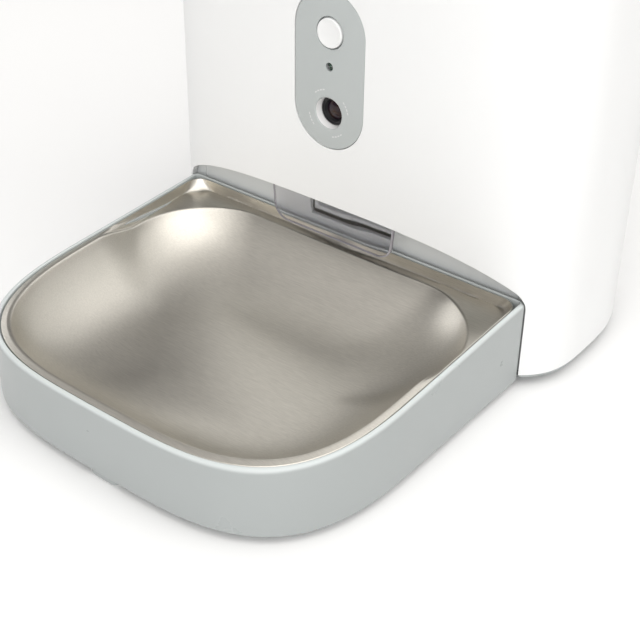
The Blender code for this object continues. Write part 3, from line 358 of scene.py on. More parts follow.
def rounded_outline(corners, radii, steps=10):
    """A convex polygon with each corner replaced by an arc that touches both of its sides."""
    corners = np.asarray(corners, float)
    radii = np.broadcast_to(radii, len(corners)).astype(float)[:, None]
    before = np.roll(corners, 1, axis=0) - corners
    after = np.roll(corners, -1, axis=0) - corners
    before /= np.linalg.norm(before, axis=1, keepdims=True)
    after /= np.linalg.norm(after, axis=1, keepdims=True)
    bisector = before + after
    bisector /= np.linalg.norm(bisector, axis=1, keepdims=True)
    sine = np.abs(before[:, :1] * bisector[:, 1:] - before[:, 1:] * bisector[:, :1])
    centres = corners + bisector * radii / sine
    tangent = radii / sine * np.sqrt(1 - sine ** 2)
    first, last = corners + before * tangent - centres, corners + after * tangent - centres
    blend = np.linspace(0, 1, steps)[None, :, None]
    angle = np.arccos(np.clip((first * last).sum(axis=1) / (radii[:, 0] ** 2), -1, 1))[:, None, None]
    swept = np.sin((1 - blend) * angle) * first[:, None] + np.sin(blend * angle) * last[:, None]
    return (centres[:, None] + swept / np.sin(angle)).reshape(-1, 2)


def drawn_in(outline, distances):
    """Copies of a closed outline moved inwards by each distance along its own normals."""
    along = np.roll(outline, -1, axis=0) - np.roll(outline, 1, axis=0)
    normals = np.stack([along[:, 1], -along[:, 0]], axis=-1)
    normals /= np.linalg.norm(normals, axis=1, keepdims=True)
    x, y = outline.T
    area = (x * np.roll(y, -1) - np.roll(x, -1) * y).sum()
    return outline - np.sign(area) * column(distances)[..., None] * normals


def plate(name, outline, low, high, edge, axis="Z", steps=5):
    """A flat plate: an outline between two depths, its edges rounded by quarter arcs."""
    rounding = np.radians(np.linspace(0, 90, steps))
    inset = edge * (1 - np.sin(rounding))
    depth = edge * (1 - np.cos(rounding))
    insets = np.concatenate([inset, inset[::-1]])
    depths = np.concatenate([low + depth, high - depth[::-1]])
    flats = drawn_in(outline, insets)
    rings = np.concatenate([flats, np.broadcast_to(depths[:, None, None], (*flats.shape[:2], 1))], axis=-1)
    return ring_mesh(name, laid(rings, axis))


def rectangle(low, high):
    """The four corners of a rectangle, anticlockwise."""
    return [(low[0], low[1]), (high[0], low[1]), (high[0], high[1]), (low[0], high[1])]


def prism(name, outline, low, high, axis="Z"):
    """An outline carried straight along an axis, between two depths."""
    rings = np.stack([np.insert(outline, 2, depth, axis=1) for depth in (low, high)])
    return ring_mesh(name, laid(rings, axis))


def block(name, low, high, radius, axis="Z"):
    """A straight block whose corners along its axis are round."""
    a, b, c = AXES[axis]
    outline = rounded_outline(rectangle((low[a], low[b]), (high[a], high[b])), radius)
    return prism(name, outline, low[c], high[c], axis)


def round_box(node):
    """An upright round node's foot, top, centre on the ground and radius."""
    low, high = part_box(node)
    return low.z, high.z, ((low.x + high.x) / 2, (low.y + high.y) / 2, 0), (high.x - low.x) / 2


def settled(piece):
    """Replaces a piece's mesh by the one that its modifiers give, and removes them."""
    seen = piece.evaluated_get(bpy.context.evaluated_depsgraph_get())
    mesh = bpy.data.meshes.new_from_object(seen)
    mesh.name = piece.name
    piece.modifiers.clear()
    piece.data = mesh


def carve(piece, meshes, edge, segments=2):
    """Cuts meshes out of a piece, rounds the cut edges, and applies both."""
    helpers = [linked("cutter", mesh) for mesh in meshes]
    for helper in helpers:
        step = piece.modifiers.new("cut", "BOOLEAN")
        step.operation = "DIFFERENCE"
        step.solver = "EXACT"
        step.object = helper
    settled(piece)
    for helper in helpers:
        bpy.data.objects.remove(helper)
    ease(piece, edge, segments)


def ease(piece, width, segments=2):
    """Rounds the sharp edges of a piece, and applies that."""
    bevel = piece.modifiers.new("eased edges", "BEVEL")
    bevel.width = width
    bevel.segments = segments
    bevel.limit_method = "ANGLE"
    bevel.angle_limit = math.radians(40)
    bevel.harden_normals = True
    settled(piece)


def merged_copy(node, name, body, finish, width=0.0):
    """A copy of a frame node with its loose triangles merged and its sharp edges rounded."""
    form = bmesh.new()
    form.from_mesh(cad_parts[node].data)
    bmesh.ops.remove_doubles(form, verts=form.verts, dist=MERGE)
    bmesh.ops.dissolve_limit(form, angle_limit=math.radians(0.5), verts=form.verts, edges=form.edges)
    mesh = bpy.data.meshes.new(name)
    form.to_mesh(mesh)
    form.free()
    piece = finish_piece(mesh, body, finish, (node,), 32)
    if width:
        ease(piece, width)
    return piece


# Finishes


def feed(tree, node, inputs):
    """Gives each named input of a node a value, or a link from another node's output."""
    for name, value in inputs.items():
        if isinstance(value, bpy.types.NodeSocket):
            tree.links.new(value, node.inputs[name])
        else:
            node.inputs[name].default_value = value


def added(tree, kind, output, inputs, **settings):
    """Adds a node with its inputs and settings, and returns one of its outputs."""
    node = tree.nodes.new(kind)
    for name, value in settings.items():
        setattr(node, name, value)
    feed(tree, node, inputs)
    return node.outputs[output]


def node_tree(name):
    """A new material with its tree, its Principled shader and its object coordinates."""
    material = bpy.data.materials.new(name)
    material.use_nodes = True
    tree = material.node_tree
    return material, tree, tree.nodes["Principled BSDF"], added(tree, "ShaderNodeTexCoord", "Object", {})


def stretched(tree, place, scale):
    """Object coordinates scaled by a different number on each axis."""
    return added(tree, "ShaderNodeMapping", "Vector", {"Vector": place, "Scale": scale})


def noise(tree, place, scale, detail=3.0, roughness=0.5):
    """Procedural noise between 0 and 1."""
    return added(tree, "ShaderNodeTexNoise", "Fac",
                 {"Vector": place, "Scale": scale, "Detail": detail, "Roughness": roughness})


def mapped(tree, value, source, target, **settings):
    """Maps a value from one range of numbers to another."""
    return added(tree, "ShaderNodeMapRange", "Result",
                 {"Value": value, "From Min": source[0], "From Max": source[1],
                  "To Min": target[0], "To Max": target[1]}, **settings)


def spread(tree, value, low, high):
    """Maps a noise's useful middle range to low and high."""
    return mapped(tree, value, NOISE_RANGE, (low, high))


def multiply_add(tree, value, factor, term):
    """value * factor + term."""
    return added(tree, "ShaderNodeMath", "Value", {0: value, 1: factor, 2: term}, operation="MULTIPLY_ADD")


def ramp(tree, value, stops, interpolation="LINEAR"):
    """A colour read along a list of positions and colours."""
    node = tree.nodes.new("ShaderNodeValToRGB")
    node.color_ramp.interpolation = interpolation
    elements = node.color_ramp.elements
    for i, (position, tone) in enumerate(stops):
        element = elements[i] if i < 2 else elements.new(position)
        element.position = position
        element.color = (*tone, 1.0)
    tree.links.new(value, node.inputs["Fac"])
    return node.outputs["Color"]


def tinted(tree, value, first, second):
    """A colour between two colours, chosen by a noise."""
    return ramp(tree, value, zip(NOISE_RANGE, (first, second)))


def varied(tree, value, base, down, up):
    """A base colour made darker and lighter by two shares, chosen by a noise."""
    darker = tuple(c * (1 - down) for c in base)
    lighter = tuple(min(1.0, c * (1 + up)) for c in base)
    return tinted(tree, value, darker, lighter)


def bumped(tree, height, depth):
    """A normal with fine relief, its depth in metres."""
    return added(tree, "ShaderNodeBump", "Normal", {"Strength": 1.0, "Distance": depth, "Height": height})


def painted(tree, name):
    """The value painted on a mesh under a name."""
    return added(tree, "ShaderNodeAttribute", "Fac", {}, attribute_name=name)


def moulded(name, base, roughness, grain=2600.0, relief=0.006 * MM, variation=0.03, edge=0.0):
    """Moulded plastic: spark-eroded grain, faint flow variation in colour and an uneven satin gloss.

    Where the edge attribute is 1, the colour is lighter by the edge share: a painted highlight, as overhead
    light catches a rounded rim.
    """
    material, tree, shader, place = node_tree(name)
    tone = varied(tree, noise(tree, place, 9.0, 4.0), base, variation, variation)
    if edge:
        # painted highlight: the colour is scaled up where the edge attribute is 1
        painted_highlight_lift = multiply_add(tree, painted(tree, "edge"), edge, 1.0)
        tone = added(tree, "ShaderNodeVectorMath", "Vector", {0: tone, "Scale": painted_highlight_lift}, operation="SCALE")
    patch = noise(tree, place, 60.0, 5.0)
    feed(tree, shader, {"Base Color": tone,
                        "Roughness": spread(tree, patch, roughness - 0.03, roughness + 0.04),
                        "Normal": bumped(tree, noise(tree, place, grain, 2.0), relief)})
    return material


def brushed(name, base, roughness, stretch, relief=0.004 * MM):
    """Brushed sheet metal: long fine scratches in gloss, relief and colour, over a faint cloudiness."""
    material, tree, shader, place = node_tree(name)
    lines = noise(tree, stretched(tree, place, stretch), 1.0, 6.0, 0.65)
    uneven = multiply_add(tree, lines, 0.5, noise(tree, place, 22.0, 3.0))
    feed(tree, shader, {"Base Color": varied(tree, lines, base, 0.11, 0.07), "Metallic": 1.0,
                        "Roughness": spread(tree, uneven, roughness - 0.03, roughness + 0.10),
                        "Normal": bumped(tree, lines, relief)})
    return material


def clear_plastic(name, base):
    """Clear moulded plastic with faint smears and ripple, and painted shade where the rim attribute is 1:
    greyer, less clear faces.
    """
    material, tree, shader, place = node_tree(name)
    rim = painted(tree, "rim")
    smear = noise(tree, stretched(tree, place, (40.0, 40.0, 160.0)), 1.0, 5.0)
    # painted shade: the rim faces turn greyer and less clear
    feed(tree, shader, {"Base Color": ramp(tree, rim, ((0.0, base), (1.0, (0.50, 0.48, 0.53)))),
                        "Transmission Weight": mapped(tree, rim, (0.0, 1.0), (1.0, 0.45)), "IOR": 1.49,
                        "Roughness": spread(tree, smear, 0.015, 0.07),
                        "Normal": bumped(tree, noise(tree, place, 90.0, 2.0), 0.02 * MM)})
    return material


def coated_glass(name):
    """A dark lens with a purple and amber coating that shifts across the glass."""
    material, tree, shader, place = node_tree(name)
    centred = added(tree, "ShaderNodeMapping", "Vector",
                    {"Vector": place, "Location": (GLASS_LOW + GLASS_HIGH) / -2})
    hue = noise(tree, centred, 240.0, 1.0)
    feed(tree, shader, {"Base Color": tinted(tree, hue, (0.010, 0.004, 0.018), (0.030, 0.012, 0.006)),
                        "Roughness": 0.03, "Coat Weight": 0.25, "Coat Roughness": 0.02,
                        "Specular IOR Level": 0.25})
    return material


def circuit_board(name):
    """Green solder mask with lighter tracks and tinned pads."""
    material, tree, shader, place = node_tree(name)
    tracks = tree.nodes.new("ShaderNodeTexBrick")
    feed(tree, tracks, {"Vector": place, "Color1": (0.010, 0.120, 0.045, 1.0),
                        "Color2": (0.012, 0.090, 0.036, 1.0),
                        "Mortar": (0.030, 0.230, 0.090, 1.0),
                        "Scale": 260.0, "Mortar Size": 0.06})
    feed(tree, shader, {"Base Color": tracks.outputs["Color"],
                        "Roughness": spread(tree, noise(tree, place, 300.0), 0.25, 0.4),
                        "Normal": bumped(tree, tracks.outputs["Fac"], 0.03 * MM)})
    return material


def cell_wrap(name, low, high):
    """A printed battery sleeve: dark wrap with a copper-coloured band at its positive end."""
    material, tree, shader, place = node_tree(name)
    split = added(tree, "ShaderNodeSeparateXYZ", "X", {"Vector": place})
    tin = (0.55, 0.54, 0.52)
    stops = ((0.0, tin), (0.02, (0.012, 0.012, 0.014)), (0.68, (0.60, 0.27, 0.11)), (0.935, tin))
    bands = ramp(tree, mapped(tree, split, (low, high), (0.0, 1.0)), stops, "CONSTANT")
    feed(tree, shader, {"Base Color": bands, "Metallic": 0.35,
                        "Roughness": spread(tree, noise(tree, place, 120.0), 0.22, 0.32)})
    return material


def paper_bag(name):
    """Unwoven paper cloth with pressed fibres."""
    material, tree, shader, place = node_tree(name)
    fibres = noise(tree, stretched(tree, place, (900.0, 2400.0, 900.0)), 1.0, 8.0, 0.7)
    feed(tree, shader, {"Base Color": tinted(tree, fibres, (0.70, 0.70, 0.66), (0.86, 0.86, 0.83)),
                        "Roughness": 0.9, "Normal": bumped(tree, fibres, 0.05 * MM)})
    return material


def make_finishes(colours):
    """Every finish of the feeder, kept by name."""
    white, grey, steel = tuple(colours.white), tuple(colours.grey), tuple(colours.steel)
    dark, rubber, clear = tuple(colours.dark), tuple(colours.rubber), tuple(colours.clear)
    panel = tuple(1.28 * c for c in grey)
    FINISHES.update({
        "white": moulded("white_satin_plastic", white, 0.42, variation=0.012),
        # edge=0.65 gives the grey finish a painted highlight on the tray's rim fillet
        "grey": moulded("grey_satin_plastic", grey, 0.30, variation=0.02, edge=0.65),
        "recess": moulded("recess_satin_plastic", (0.70, 0.72, 0.72), 0.42, variation=0.015),
        "panel": moulded("panel_satin_plastic", panel, 0.46, variation=0.02),
        "cone": moulded("white_gloss_plastic", (0.92, 0.92, 0.92), 0.25, variation=0.01),
        "gear": moulded("white_gear_plastic", (0.78, 0.77, 0.72), 0.35, variation=0.03),
        "dark": moulded("black_satin_plastic", dark, 0.38, variation=0.15),
        "rubber": moulded("soft_rubber", rubber, 0.75, grain=900.0, relief=0.02 * MM, variation=0.08),
        "seal": moulded("pale_seal_rubber", (0.62, 0.63, 0.62), 0.6, grain=1200.0, relief=0.01 * MM),
        "marks": moulded("pale_print", (0.66, 0.67, 0.67), 0.5),
        "bowl": brushed("pressed_bowl_steel", steel, 0.26, (150.0, 2200.0, 2200.0), 0.006 * MM),
        "steel": brushed("plated_steel", (0.55, 0.55, 0.54), 0.22, (900.0, 900.0, 4000.0)),
        "brass": brushed("cut_brass", (0.62, 0.44, 0.17), 0.28, (2500.0, 2500.0, 400.0)),
        "clear": clear_plastic("clear_flap_plastic", clear),
        "glass": coated_glass("coated_lens_glass"),
        "board": circuit_board("green_circuit_board"),
        "bag": paper_bag("drying_bag_cloth"),
    })


# Pieces


class FEEDER_OT_finishes(Operator):
    """Makes the feeder's finishes"""
    bl_idname = "feeder.finishes"
    bl_label = "Finishes"

    def execute(self, context):
        make_finishes(context.scene.feeder_colours)
        return {"FINISHED"}


def front_opening(sizes):
    """The opening over the tray, seen from the front and cut through to the recess.

    Its upper edge is z = top - slope (y(x) - y(0)), with y the housing's front face, less a round corner
    r - sqrt(r^2 - d^2) near each side.
    """
    half, radius = sizes.cut_half_width, sizes.cut_corner
    flank = np.linspace(half - radius, half, 14)
    x = np.concatenate([-flank[::-1], np.linspace(radius - half, half - radius, 120)[1:-1], flank])
    into_corner = np.clip(np.abs(x) - (half - radius), 0, radius)
    top = SHELL_LOW.z + sizes.cut_height - sizes.cut_slope * (front_y(sizes, x) - SHELL_LOW.y)
    z = top - radius + np.sqrt(radius ** 2 - into_corner ** 2)
    below, ahead, behind = 20 * MM, 20 * MM, 50 * MM
    outline = np.concatenate([[[half, -below], [-half, -below]], np.stack([x, z], axis=-1)])
    return prism("front_opening", outline, SHELL_LOW.y - ahead, SHELL_LOW.y + behind, "Y")


def pill_outline(half, low, high, steps=56):
    """An upright pill: two half circles of the half width, joined by straight sides."""
    return np.concatenate([arc((0, high - half), half, 0, 180, steps),
                           arc((0, low + half), half, 180, 360, steps)])


class FEEDER_OT_housing(Operator):
    """Makes the housing's shell with its opening, panel hole, inlet hole and speaker slots"""
    bl_idname = "feeder.housing"
    bl_label = "Housing Shell"

    def execute(self, context):
        sizes = context.scene.feeder_sizes
        low, high, wall, edge = SHELL_LOW.z, SHELL_HIGH.z, sizes.shell_wall, sizes.shell_edge
        section = profile((wall, low), arc((edge, low + edge), edge, 270, 180, 5),
                          arc((edge, high - edge), edge, 180, 90, 5), (wall, high))
        shell = carried("housing_shell", body_plan(sizes, section[:, 0]), section[:, 1:])
        piece = finish_piece(shell, "housing", "white", ("outer_shell",))
        gap, reach, depth = sizes.panel_gap, 10 * MM, 12 * MM
        pill = pill_outline(PANEL_HIGH.x + gap, PANEL_LOW.z - gap, PANEL_HIGH.z + gap)
        cuts = [front_opening(sizes),
                prism("panel_hole", pill, SHELL_LOW.y - reach, SHELL_LOW.y + depth, "Y")]
        around = Vector((gap, 8 * MM, gap))
        cuts.append(block("inlet_hole", INLET_LOW - around, INLET_HIGH + around, 1.2 * MM, "Y"))
        middle = (SPEAKER_LOW + SPEAKER_HIGH) / 2
        slot_half, slot_pitch = 12 * MM, 5 * MM
        for step in range(-2, 3):
            z = middle.z + step * slot_pitch
            cuts.append(block("speaker_slot", (middle.x - slot_half, SPEAKER_HIGH.y, z - MM),
                              (middle.x + slot_half, SHELL_HIGH.y + reach, z + MM), 0.99 * MM, "Y"))
        carve(piece, cuts, edge)
        return {"FINISHED"}


class FEEDER_OT_lid(Operator):
    """Makes the lid, its thumb latch and its seal"""
    bl_idname = "feeder.lid"
    bl_label = "Lid"

    def execute(self, context):
        sizes = context.scene.feeder_sizes
        low, top = LID_LOW.z, LID_HIGH.z - sizes.lid_crown
        wall, radius, edge = sizes.lid_wall, sizes.lid_round, 0.6 * MM
        section = profile(arc((radius, top - radius), radius - wall, 90, 180, 12), (wall, low + edge),
                          arc((wall - edge, low + edge), edge, 0, -90, 4),
                          arc((edge, low + edge), edge, 270, 180, 4),
                          arc((radius, top - radius), radius, 180, 90, 16))
        rim = body_plan(sizes, section[:, 0])
        scales = np.linspace(0.06, 0.985, 14)
        crown = top + sizes.lid_crown * (1 - scales ** 2)
        plan = np.concatenate([shrunk(rim[0], scales), rim, shrunk(rim[-1], scales[::-1])])
        heights = np.concatenate([crown - wall, section[:, 1], crown[::-1]])
        lid = carried("lid_cap", plan, heights[:, None], wrap=False)
        piece = finish_piece(lid, "lid_unit", "white", ("lid",))
        gap, travel, depth, pad_start = 0.6 * MM, 5.6 * MM, 10 * MM, 4 * MM
        pad_y = LATCH_LOW.y + pad_start
        slot = block("latch_slot", (LATCH_LOW.x - gap, pad_y - gap, low + depth),
                     (LATCH_HIGH.x + gap, LATCH_HIGH.y + travel, LID_HIGH.z + depth), 3.6 * MM)
        carve(piece, [slot], 0.5 * MM)
        self.latch(pad_y)
        self.seal(sizes)
        return {"FINISHED"}

    @staticmethod
    def seal(sizes):
        """The gasket: a bead of oval section, 1.4 times as wide as it is high, inside the lid's rim."""
        low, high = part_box("lid_seal")
        inset, radius, widening = sizes.shell_wall + 2.9 * MM, 1.2 * MM, 1.4
        bead = arc((0, (low.z + high.z) / 2), radius, 0, 330, 12)
        ring = carried("lid_gasket", body_plan(sizes, inset + widening * bead[:, 0]), bead[:, 1:])
        finish_piece(ring, "lid_unit", "seal", ("lid_seal",))

    @staticmethod
    def latch(pad_y):
        """The thumb slide: a pad whose top dips by cosine ribs, on the frame's leg and tongue."""
        corner, edge, skirt, flat_rows = 3.2 * MM, 0.7 * MM, 4 * MM, 34
        outline = rounded_outline(rectangle((LATCH_LOW.x, pad_y), (LATCH_HIGH.x, LATCH_HIGH.y)), corner, 16)
        rounding = np.radians(np.linspace(0, 90, 6))
        flats = drawn_in(outline, edge * (1 - np.cos(rounding)))
        plan = np.concatenate([flats[:1], flats, shrunk(flats[-1], np.linspace(0.98, 0.04, flat_rows))])
        top = LATCH_HIGH.z
        heights = np.concatenate([[top - skirt], top - edge + edge * np.sin(rounding),
                                  np.full(flat_rows, top)])
        z = np.repeat(heights[:, None], plan.shape[1], axis=1)
        middle, rib_pitch, rib_depth, field = (pad_y + LATCH_HIGH.y) / 2, 1.5 * MM, 0.45 * MM, 4.6 * MM
        x_share = np.clip(1 - (np.abs(plan[..., 0]) / (LATCH_HIGH.x - 3 * MM)) ** 6, 0, 1)
        y_share = np.clip(1 - (np.abs(plan[..., 1] - middle) / field) ** 6, 0, 1)
        ribs = 0.5 - 0.5 * np.cos((plan[..., 1] - middle) / rib_pitch * 2 * math.pi)
        ribbed = 1 + len(flats)
        z[ribbed:] -= (rib_depth * ribs * x_share * y_share)[ribbed:]
        pad = carried("latch_pad", plan, z, wrap=False)
        finish_piece(pad, "latch_unit", "grey", ("lid_latch",))
        leg_y, half, thick = pad_y + MM, 8 * MM, 2 * MM
        for name, low, high in (
                ("latch_leg", (-half, leg_y, LATCH_LOW.z), (half, leg_y + thick, LATCH_HIGH.z - 3.5 * MM)),
                ("latch_tongue", (-half, LATCH_LOW.y, LATCH_LOW.z), (half, leg_y, LATCH_LOW.z + thick))):
            outline = rounded_outline(rectangle(low[:2], high[:2]), 0.6 * MM, 5)
            finish_piece(plate(name, outline, low[2], high[2], 0.4 * MM), "latch_unit", "grey")


class FEEDER_OT_tray(Operator):
    """Makes the tray with its rounded rim, ledge and tongues, and its three pads"""
    bl_idname = "feeder.tray"
    bl_label = "Tray"

    def execute(self, context):
        sizes = context.scene.feeder_sizes
        low = TRAY_LOW.z
        self.body(sizes, low)
        tongue_x, tongue_half, overlap, tongue_low, tongue_high = 62 * MM, 9 * MM, 2 * MM, 6 * MM, 10 * MM
        for name, middle in (("tray_tongue_left", -tongue_x), ("tray_tongue_right", tongue_x)):
            outline = rounded_outline(rectangle((middle - tongue_half, tray_back(sizes) - overlap),
                                                (middle + tongue_half, TRAY_HIGH.y)), 1.5 * MM)
            tongue = plate(name, outline, low + tongue_low, low + tongue_high, 0.6 * MM)
            finish_piece(tongue, "tray_unit", "grey")
        for i in range(1, 4):
            pad_low, pad_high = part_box(f"tray_foot_{i}")
            radius = min(pad_high.x - pad_low.x, pad_high.y - pad_low.y) / 2
            outline = rounded_outline(rectangle(pad_low[:2], pad_high[:2]), radius * 0.9999, 14)
            pad = plate(f"tray_pad_{i}", outline, pad_low.z, pad_high.z, 0.7 * MM)
            finish_piece(pad, "tray_unit", "grey", (f"tray_foot_{i}",))
        return {"FINISHED"}

    @staticmethod
    def body(sizes, low):
        """The tray itself, turned over from the middle of its underside to the middle of its floor.

        Insets run with heights from the underside up (under, inside) or from the sloping rim down (over).
        """
        rim, wall, ledge = sizes.rim_wall, sizes.tray_wall, -sizes.ledge_drop
        foot, outer, inner, step, cove = 1.2 * MM, sizes.rim_round, 0.45 * MM, 0.3 * MM, 2 * MM
        under = arc((foot, foot), foot, 270, 180, 6)
        over = profile(arc((outer, -outer), outer, 180, 90, 9), arc((rim - inner, -inner), inner, 90, 0, 5),
                       (rim, ledge), (wall - step, ledge), (wall, ledge - step))
        inside = arc((wall + cove, sizes.tray_floor + cove), cove, 180, 270, 6)
        insets = np.concatenate([under[:, 0], over[:, 0], inside[:, 0]])
        plan = tray_plan(sizes, insets, np.maximum(sizes.tray_turn - 0.6 * insets, 1.5 * MM))
        start, end = len(under), len(under) + len(over)
        plan[start:] = slimmed(sizes, plan[start:], insets[start:])
        y = plan[..., 1]
        ledge_rows = slice(end - 3, end)
        z = np.concatenate([low + under[:, 1:] + 0 * y[:start], rim_height(sizes, y[start:end]) + over[:, 1:],
                            low + inside[:, 1:] + 0 * y[end:]])
        z[ledge_rows] -= 0.8 * back_fall(sizes, y[ledge_rows])
        scales = np.linspace(0.1, 0.96, 6)
        flat = np.ones((len(scales), plan.shape[1]))
        plan = np.concatenate([shrunk(plan[0], scales), plan, shrunk(plan[-1], scales[::-1])])
        z = np.concatenate([low * flat, z, (low + sizes.tray_floor) * flat])
        tray = carried("tray_body", plan, z, wrap=False)
        # the edge attribute marks the rim's outer fillet, where the grey finish paints a highlight
        points = points_of(tray)
        above_rim = points[:, 2] - rim_height(sizes, points[:, 1])
        paint(tray, "edge", smooth_step(above_rim, -0.75 * outer, -0.15 * outer))
        finish_piece(tray, "tray_unit", "grey", ("tray",), 40)


def bowl_rows(sizes):
    """The bowl's upper surface from its lip to the middle of its floor: plan, height and sheet thickness.

    A row is a closed ring with an inset, a corner radius and a drop below the rim. The lip is a half round.
    A wall then falls by fall(y) (1 - (1 - d / reach)^2), with d the distance from the lip, and a deck leads
    on to the basin's edge. The basin follows inset = run (0.42 s + 0.58 s^2) and drop = depth sin(pi s / 2).
    """
    lip, bead = sizes.rim_wall + sizes.bowl_gap, sizes.bowl_sheet / 2
    top = sizes.ledge_drop - 0.3 * MM - sizes.bowl_sheet
    roll = np.radians(np.linspace(0, 90, 6))
    skirt = np.linspace(0, 1, 18) ** 1.5
    crest = np.radians(np.linspace(0, 62, 7))[1:]
    basin = np.linspace(0, 1, 34)[1:]
    edge = lip + sizes.basin_edge - sizes.crest / 2
    crest_end = edge + sizes.crest * math.sin(crest[-1])
    insets = np.concatenate([
        lip + bead * (1 - np.cos(roll)), lip + bead + (edge - 0.5 * MM - lip - bead) * skirt[1:], [edge],
        edge + sizes.crest * np.sin(crest), crest_end + sizes.bowl_run * (0.42 * basin + 0.58 * basin ** 2)])
    rows = len(roll), len(skirt) - 1, 1 + len(crest), len(basin)
    wide = np.concatenate([np.zeros(rows[0]), skirt[1:], np.ones(rows[2] + rows[3])])
    basin_turn = sizes.basin_turn - 0.38 * (insets - edge).clip(0)
    plan = tray_plan(sizes, insets, sizes.lip_turn + (basin_turn - sizes.lip_turn) * wide ** 0.8)
    plan = slimmed(sizes, plan, insets)
    towards_back = smooth_step(plan[..., 1], -60 * MM, 10 * MM)
    plan[..., 1] -= (sizes.basin_back + sizes.back_slim) * column(wide) * towards_back
    upper = sum(rows[:3])
    away = np.linalg.norm(plan[:upper] - plan[rows[0] - 1], axis=-1)
    fallen = 1 - (1 - np.clip(away / sizes.back_wall, 0, 1)) ** 2
    fallen[:rows[0]] = 0
    fall = back_fall(sizes, plan[rows[0] - 1, :, 1])
    rise = 0.35 * MM
    own = np.concatenate([top + bead * (1 - np.sin(roll)), top - rise * skirt[1:], [top - rise],
                          top - rise + sizes.crest * (1 - np.cos(crest))])
    drop = column(own) + fallen * fall
    sink = column(np.sin(basin * math.pi / 2))
    floor = top + sizes.bowl_depth
    drop = np.concatenate([drop, (own[-1] + fallen[-1] * fall) * (1 - sink) + floor * sink])
    inner = shrunk(plan[-1], np.linspace(0.93, 0.05, 12))
    z = rim_height(sizes, plan[..., 1]) - drop
    inner_z = rim_height(sizes, inner[..., 1]) - floor
    sheet = np.concatenate([np.sin(roll), np.ones(sum(rows[1:]) + len(inner))]) * sizes.bowl_sheet
    return np.concatenate([plan, inner]), np.concatenate([z, inner_z]), column(sheet)


class FEEDER_OT_bowl(Operator):
    """Makes the pressed steel bowl"""
    bl_idname = "feeder.bowl"
    bl_label = "Steel Bowl"

    def execute(self, context):
        plan, z, sheet = bowl_rows(context.scene.feeder_sizes)
        bowl = carried("steel_bowl", np.concatenate([plan[::-1], plan[1:]]),
                       np.concatenate([z[::-1], (z - sheet)[1:]]), wrap=False)
        finish_piece(bowl, "bowl_unit", "bowl", ("bowl",), 60)
        return {"FINISHED"}


class FEEDER_OT_flap(Operator):
    """Makes the clear flap behind the housing's front edge"""
    bl_idname = "feeder.flap"
    bl_label = "Clear Flap"

    def execute(self, context):
        low, high = GUARD_LOW, GUARD_HIGH
        narrow, foot_corner, top_corner, edge = 3 * MM, 8 * MM, MM, 0.85 * MM
        corners = [(low.x + narrow, low.z), (high.x - narrow, low.z), (high.x, high.z), (low.x, high.z)]
        outline = rounded_outline(corners, [foot_corner, foot_corner, top_corner, top_corner], 20)
        flap = plate("clear_flap", outline, low.y, high.y, edge, "Y", 8)
        corner_count = np.zeros(len(flap.polygons), int)
        flap.polygons.foreach_get("loop_total", corner_count)
        # the rounded rim is made of quads, and the two flat sides of triangles
        # the rim faces get the clear finish's painted shade
        paint(flap, "rim", corner_count == 4, "FACE")
        finish_piece(flap, "housing", "clear", ("chute_guard",))
        return {"FINISHED"}


def turned_cutter(name, centre, radius, depth, flare):
    """A round cutter along Y whose mouth flares by a quarter arc, which rounds the hole's edge."""
    reach = 3 * MM
    mouth = arc((radius + flare, flare), flare, 270, 180, 6)
    return turned(name, profile((radius + flare, -reach), mouth, (radius, depth)), centre, "Y", 72)


class FEEDER_OT_panel(Operator):
    """Makes the pill-shaped camera panel with its holes and pale dashes"""
    bl_idname = "feeder.panel"
    bl_label = "Camera Panel"

    def execute(self, context):
        outline = pill_outline(PANEL_HIGH.x, PANEL_LOW.z, PANEL_HIGH.z)
        mesh = plate("front_panel", outline, PANEL_LOW.y, PANEL_HIGH.y, 0.35 * MM, "Y")
        piece = finish_piece(mesh, "housing", "panel", ("camera_panel",))
        depth = 8 * MM
        holes = [turned_cutter(name, (0, PANEL_LOW.y, z), radius, depth, flare)
                 for name, z, radius, flare in (("lens_hole", LENS_Z, 7.2 * MM, 0.5 * MM),
                                                ("button_hole", BUTTON_Z, 7.1 * MM, 0.4 * MM),
                                                ("light_hole", LIGHT_Z, 1.9 * MM, 0.2 * MM))]
        carve(piece, holes, 0.05 * MM, 1)
        self.dashes()
        return {"FINISHED"}

    @staticmethod
    def dashes():
        """Four groups of four plain dashes round the lens, each a short arc 0.03 mm proud of the panel.

        A dash is a closed ring of points, its inner arc and then its outer arc backwards, at two depths.
        """
        radius, width, proud, sunk, steps = 10.7 * MM, 0.6 * MM, 0.03 * MM, 0.1 * MM, 7
        first, pitch, span = 12.0, 8.5, 6.0
        starts = (first + 90.0 * np.arange(4)[:, None] + pitch * np.arange(4)).reshape(-1, 1)
        angle = np.radians(starts + np.linspace(0, span, steps))
        turn = np.concatenate([angle, angle[:, ::-1]], axis=1)
        reach = radius + width / 2 * np.repeat([-1, 1], steps)
        x, z = reach * np.cos(turn), LENS_Z + reach * np.sin(turn)
        rings = np.stack([np.stack([x, 0 * x + depth, z], axis=-1)
                          for depth in (PANEL_LOW.y - proud, PANEL_LOW.y + sunk)], axis=1)
        index = np.arange(rings[..., 0].size).reshape(rings.shape[:3])
        front, rear = index[:, 0], index[:, 1]
        sides = np.stack([np.roll(front, 1, axis=1), front, rear, np.roll(rear, 1, axis=1)], axis=-1)
        mesh = bpy.data.meshes.new("panel_dashes")
        mesh.from_pydata(rings.reshape(-1, 3).tolist(), [],
                         front[:, ::-1].tolist() + rear.tolist() + sides.reshape(-1, 4).tolist())
        finish_piece(mesh, "housing", "marks")


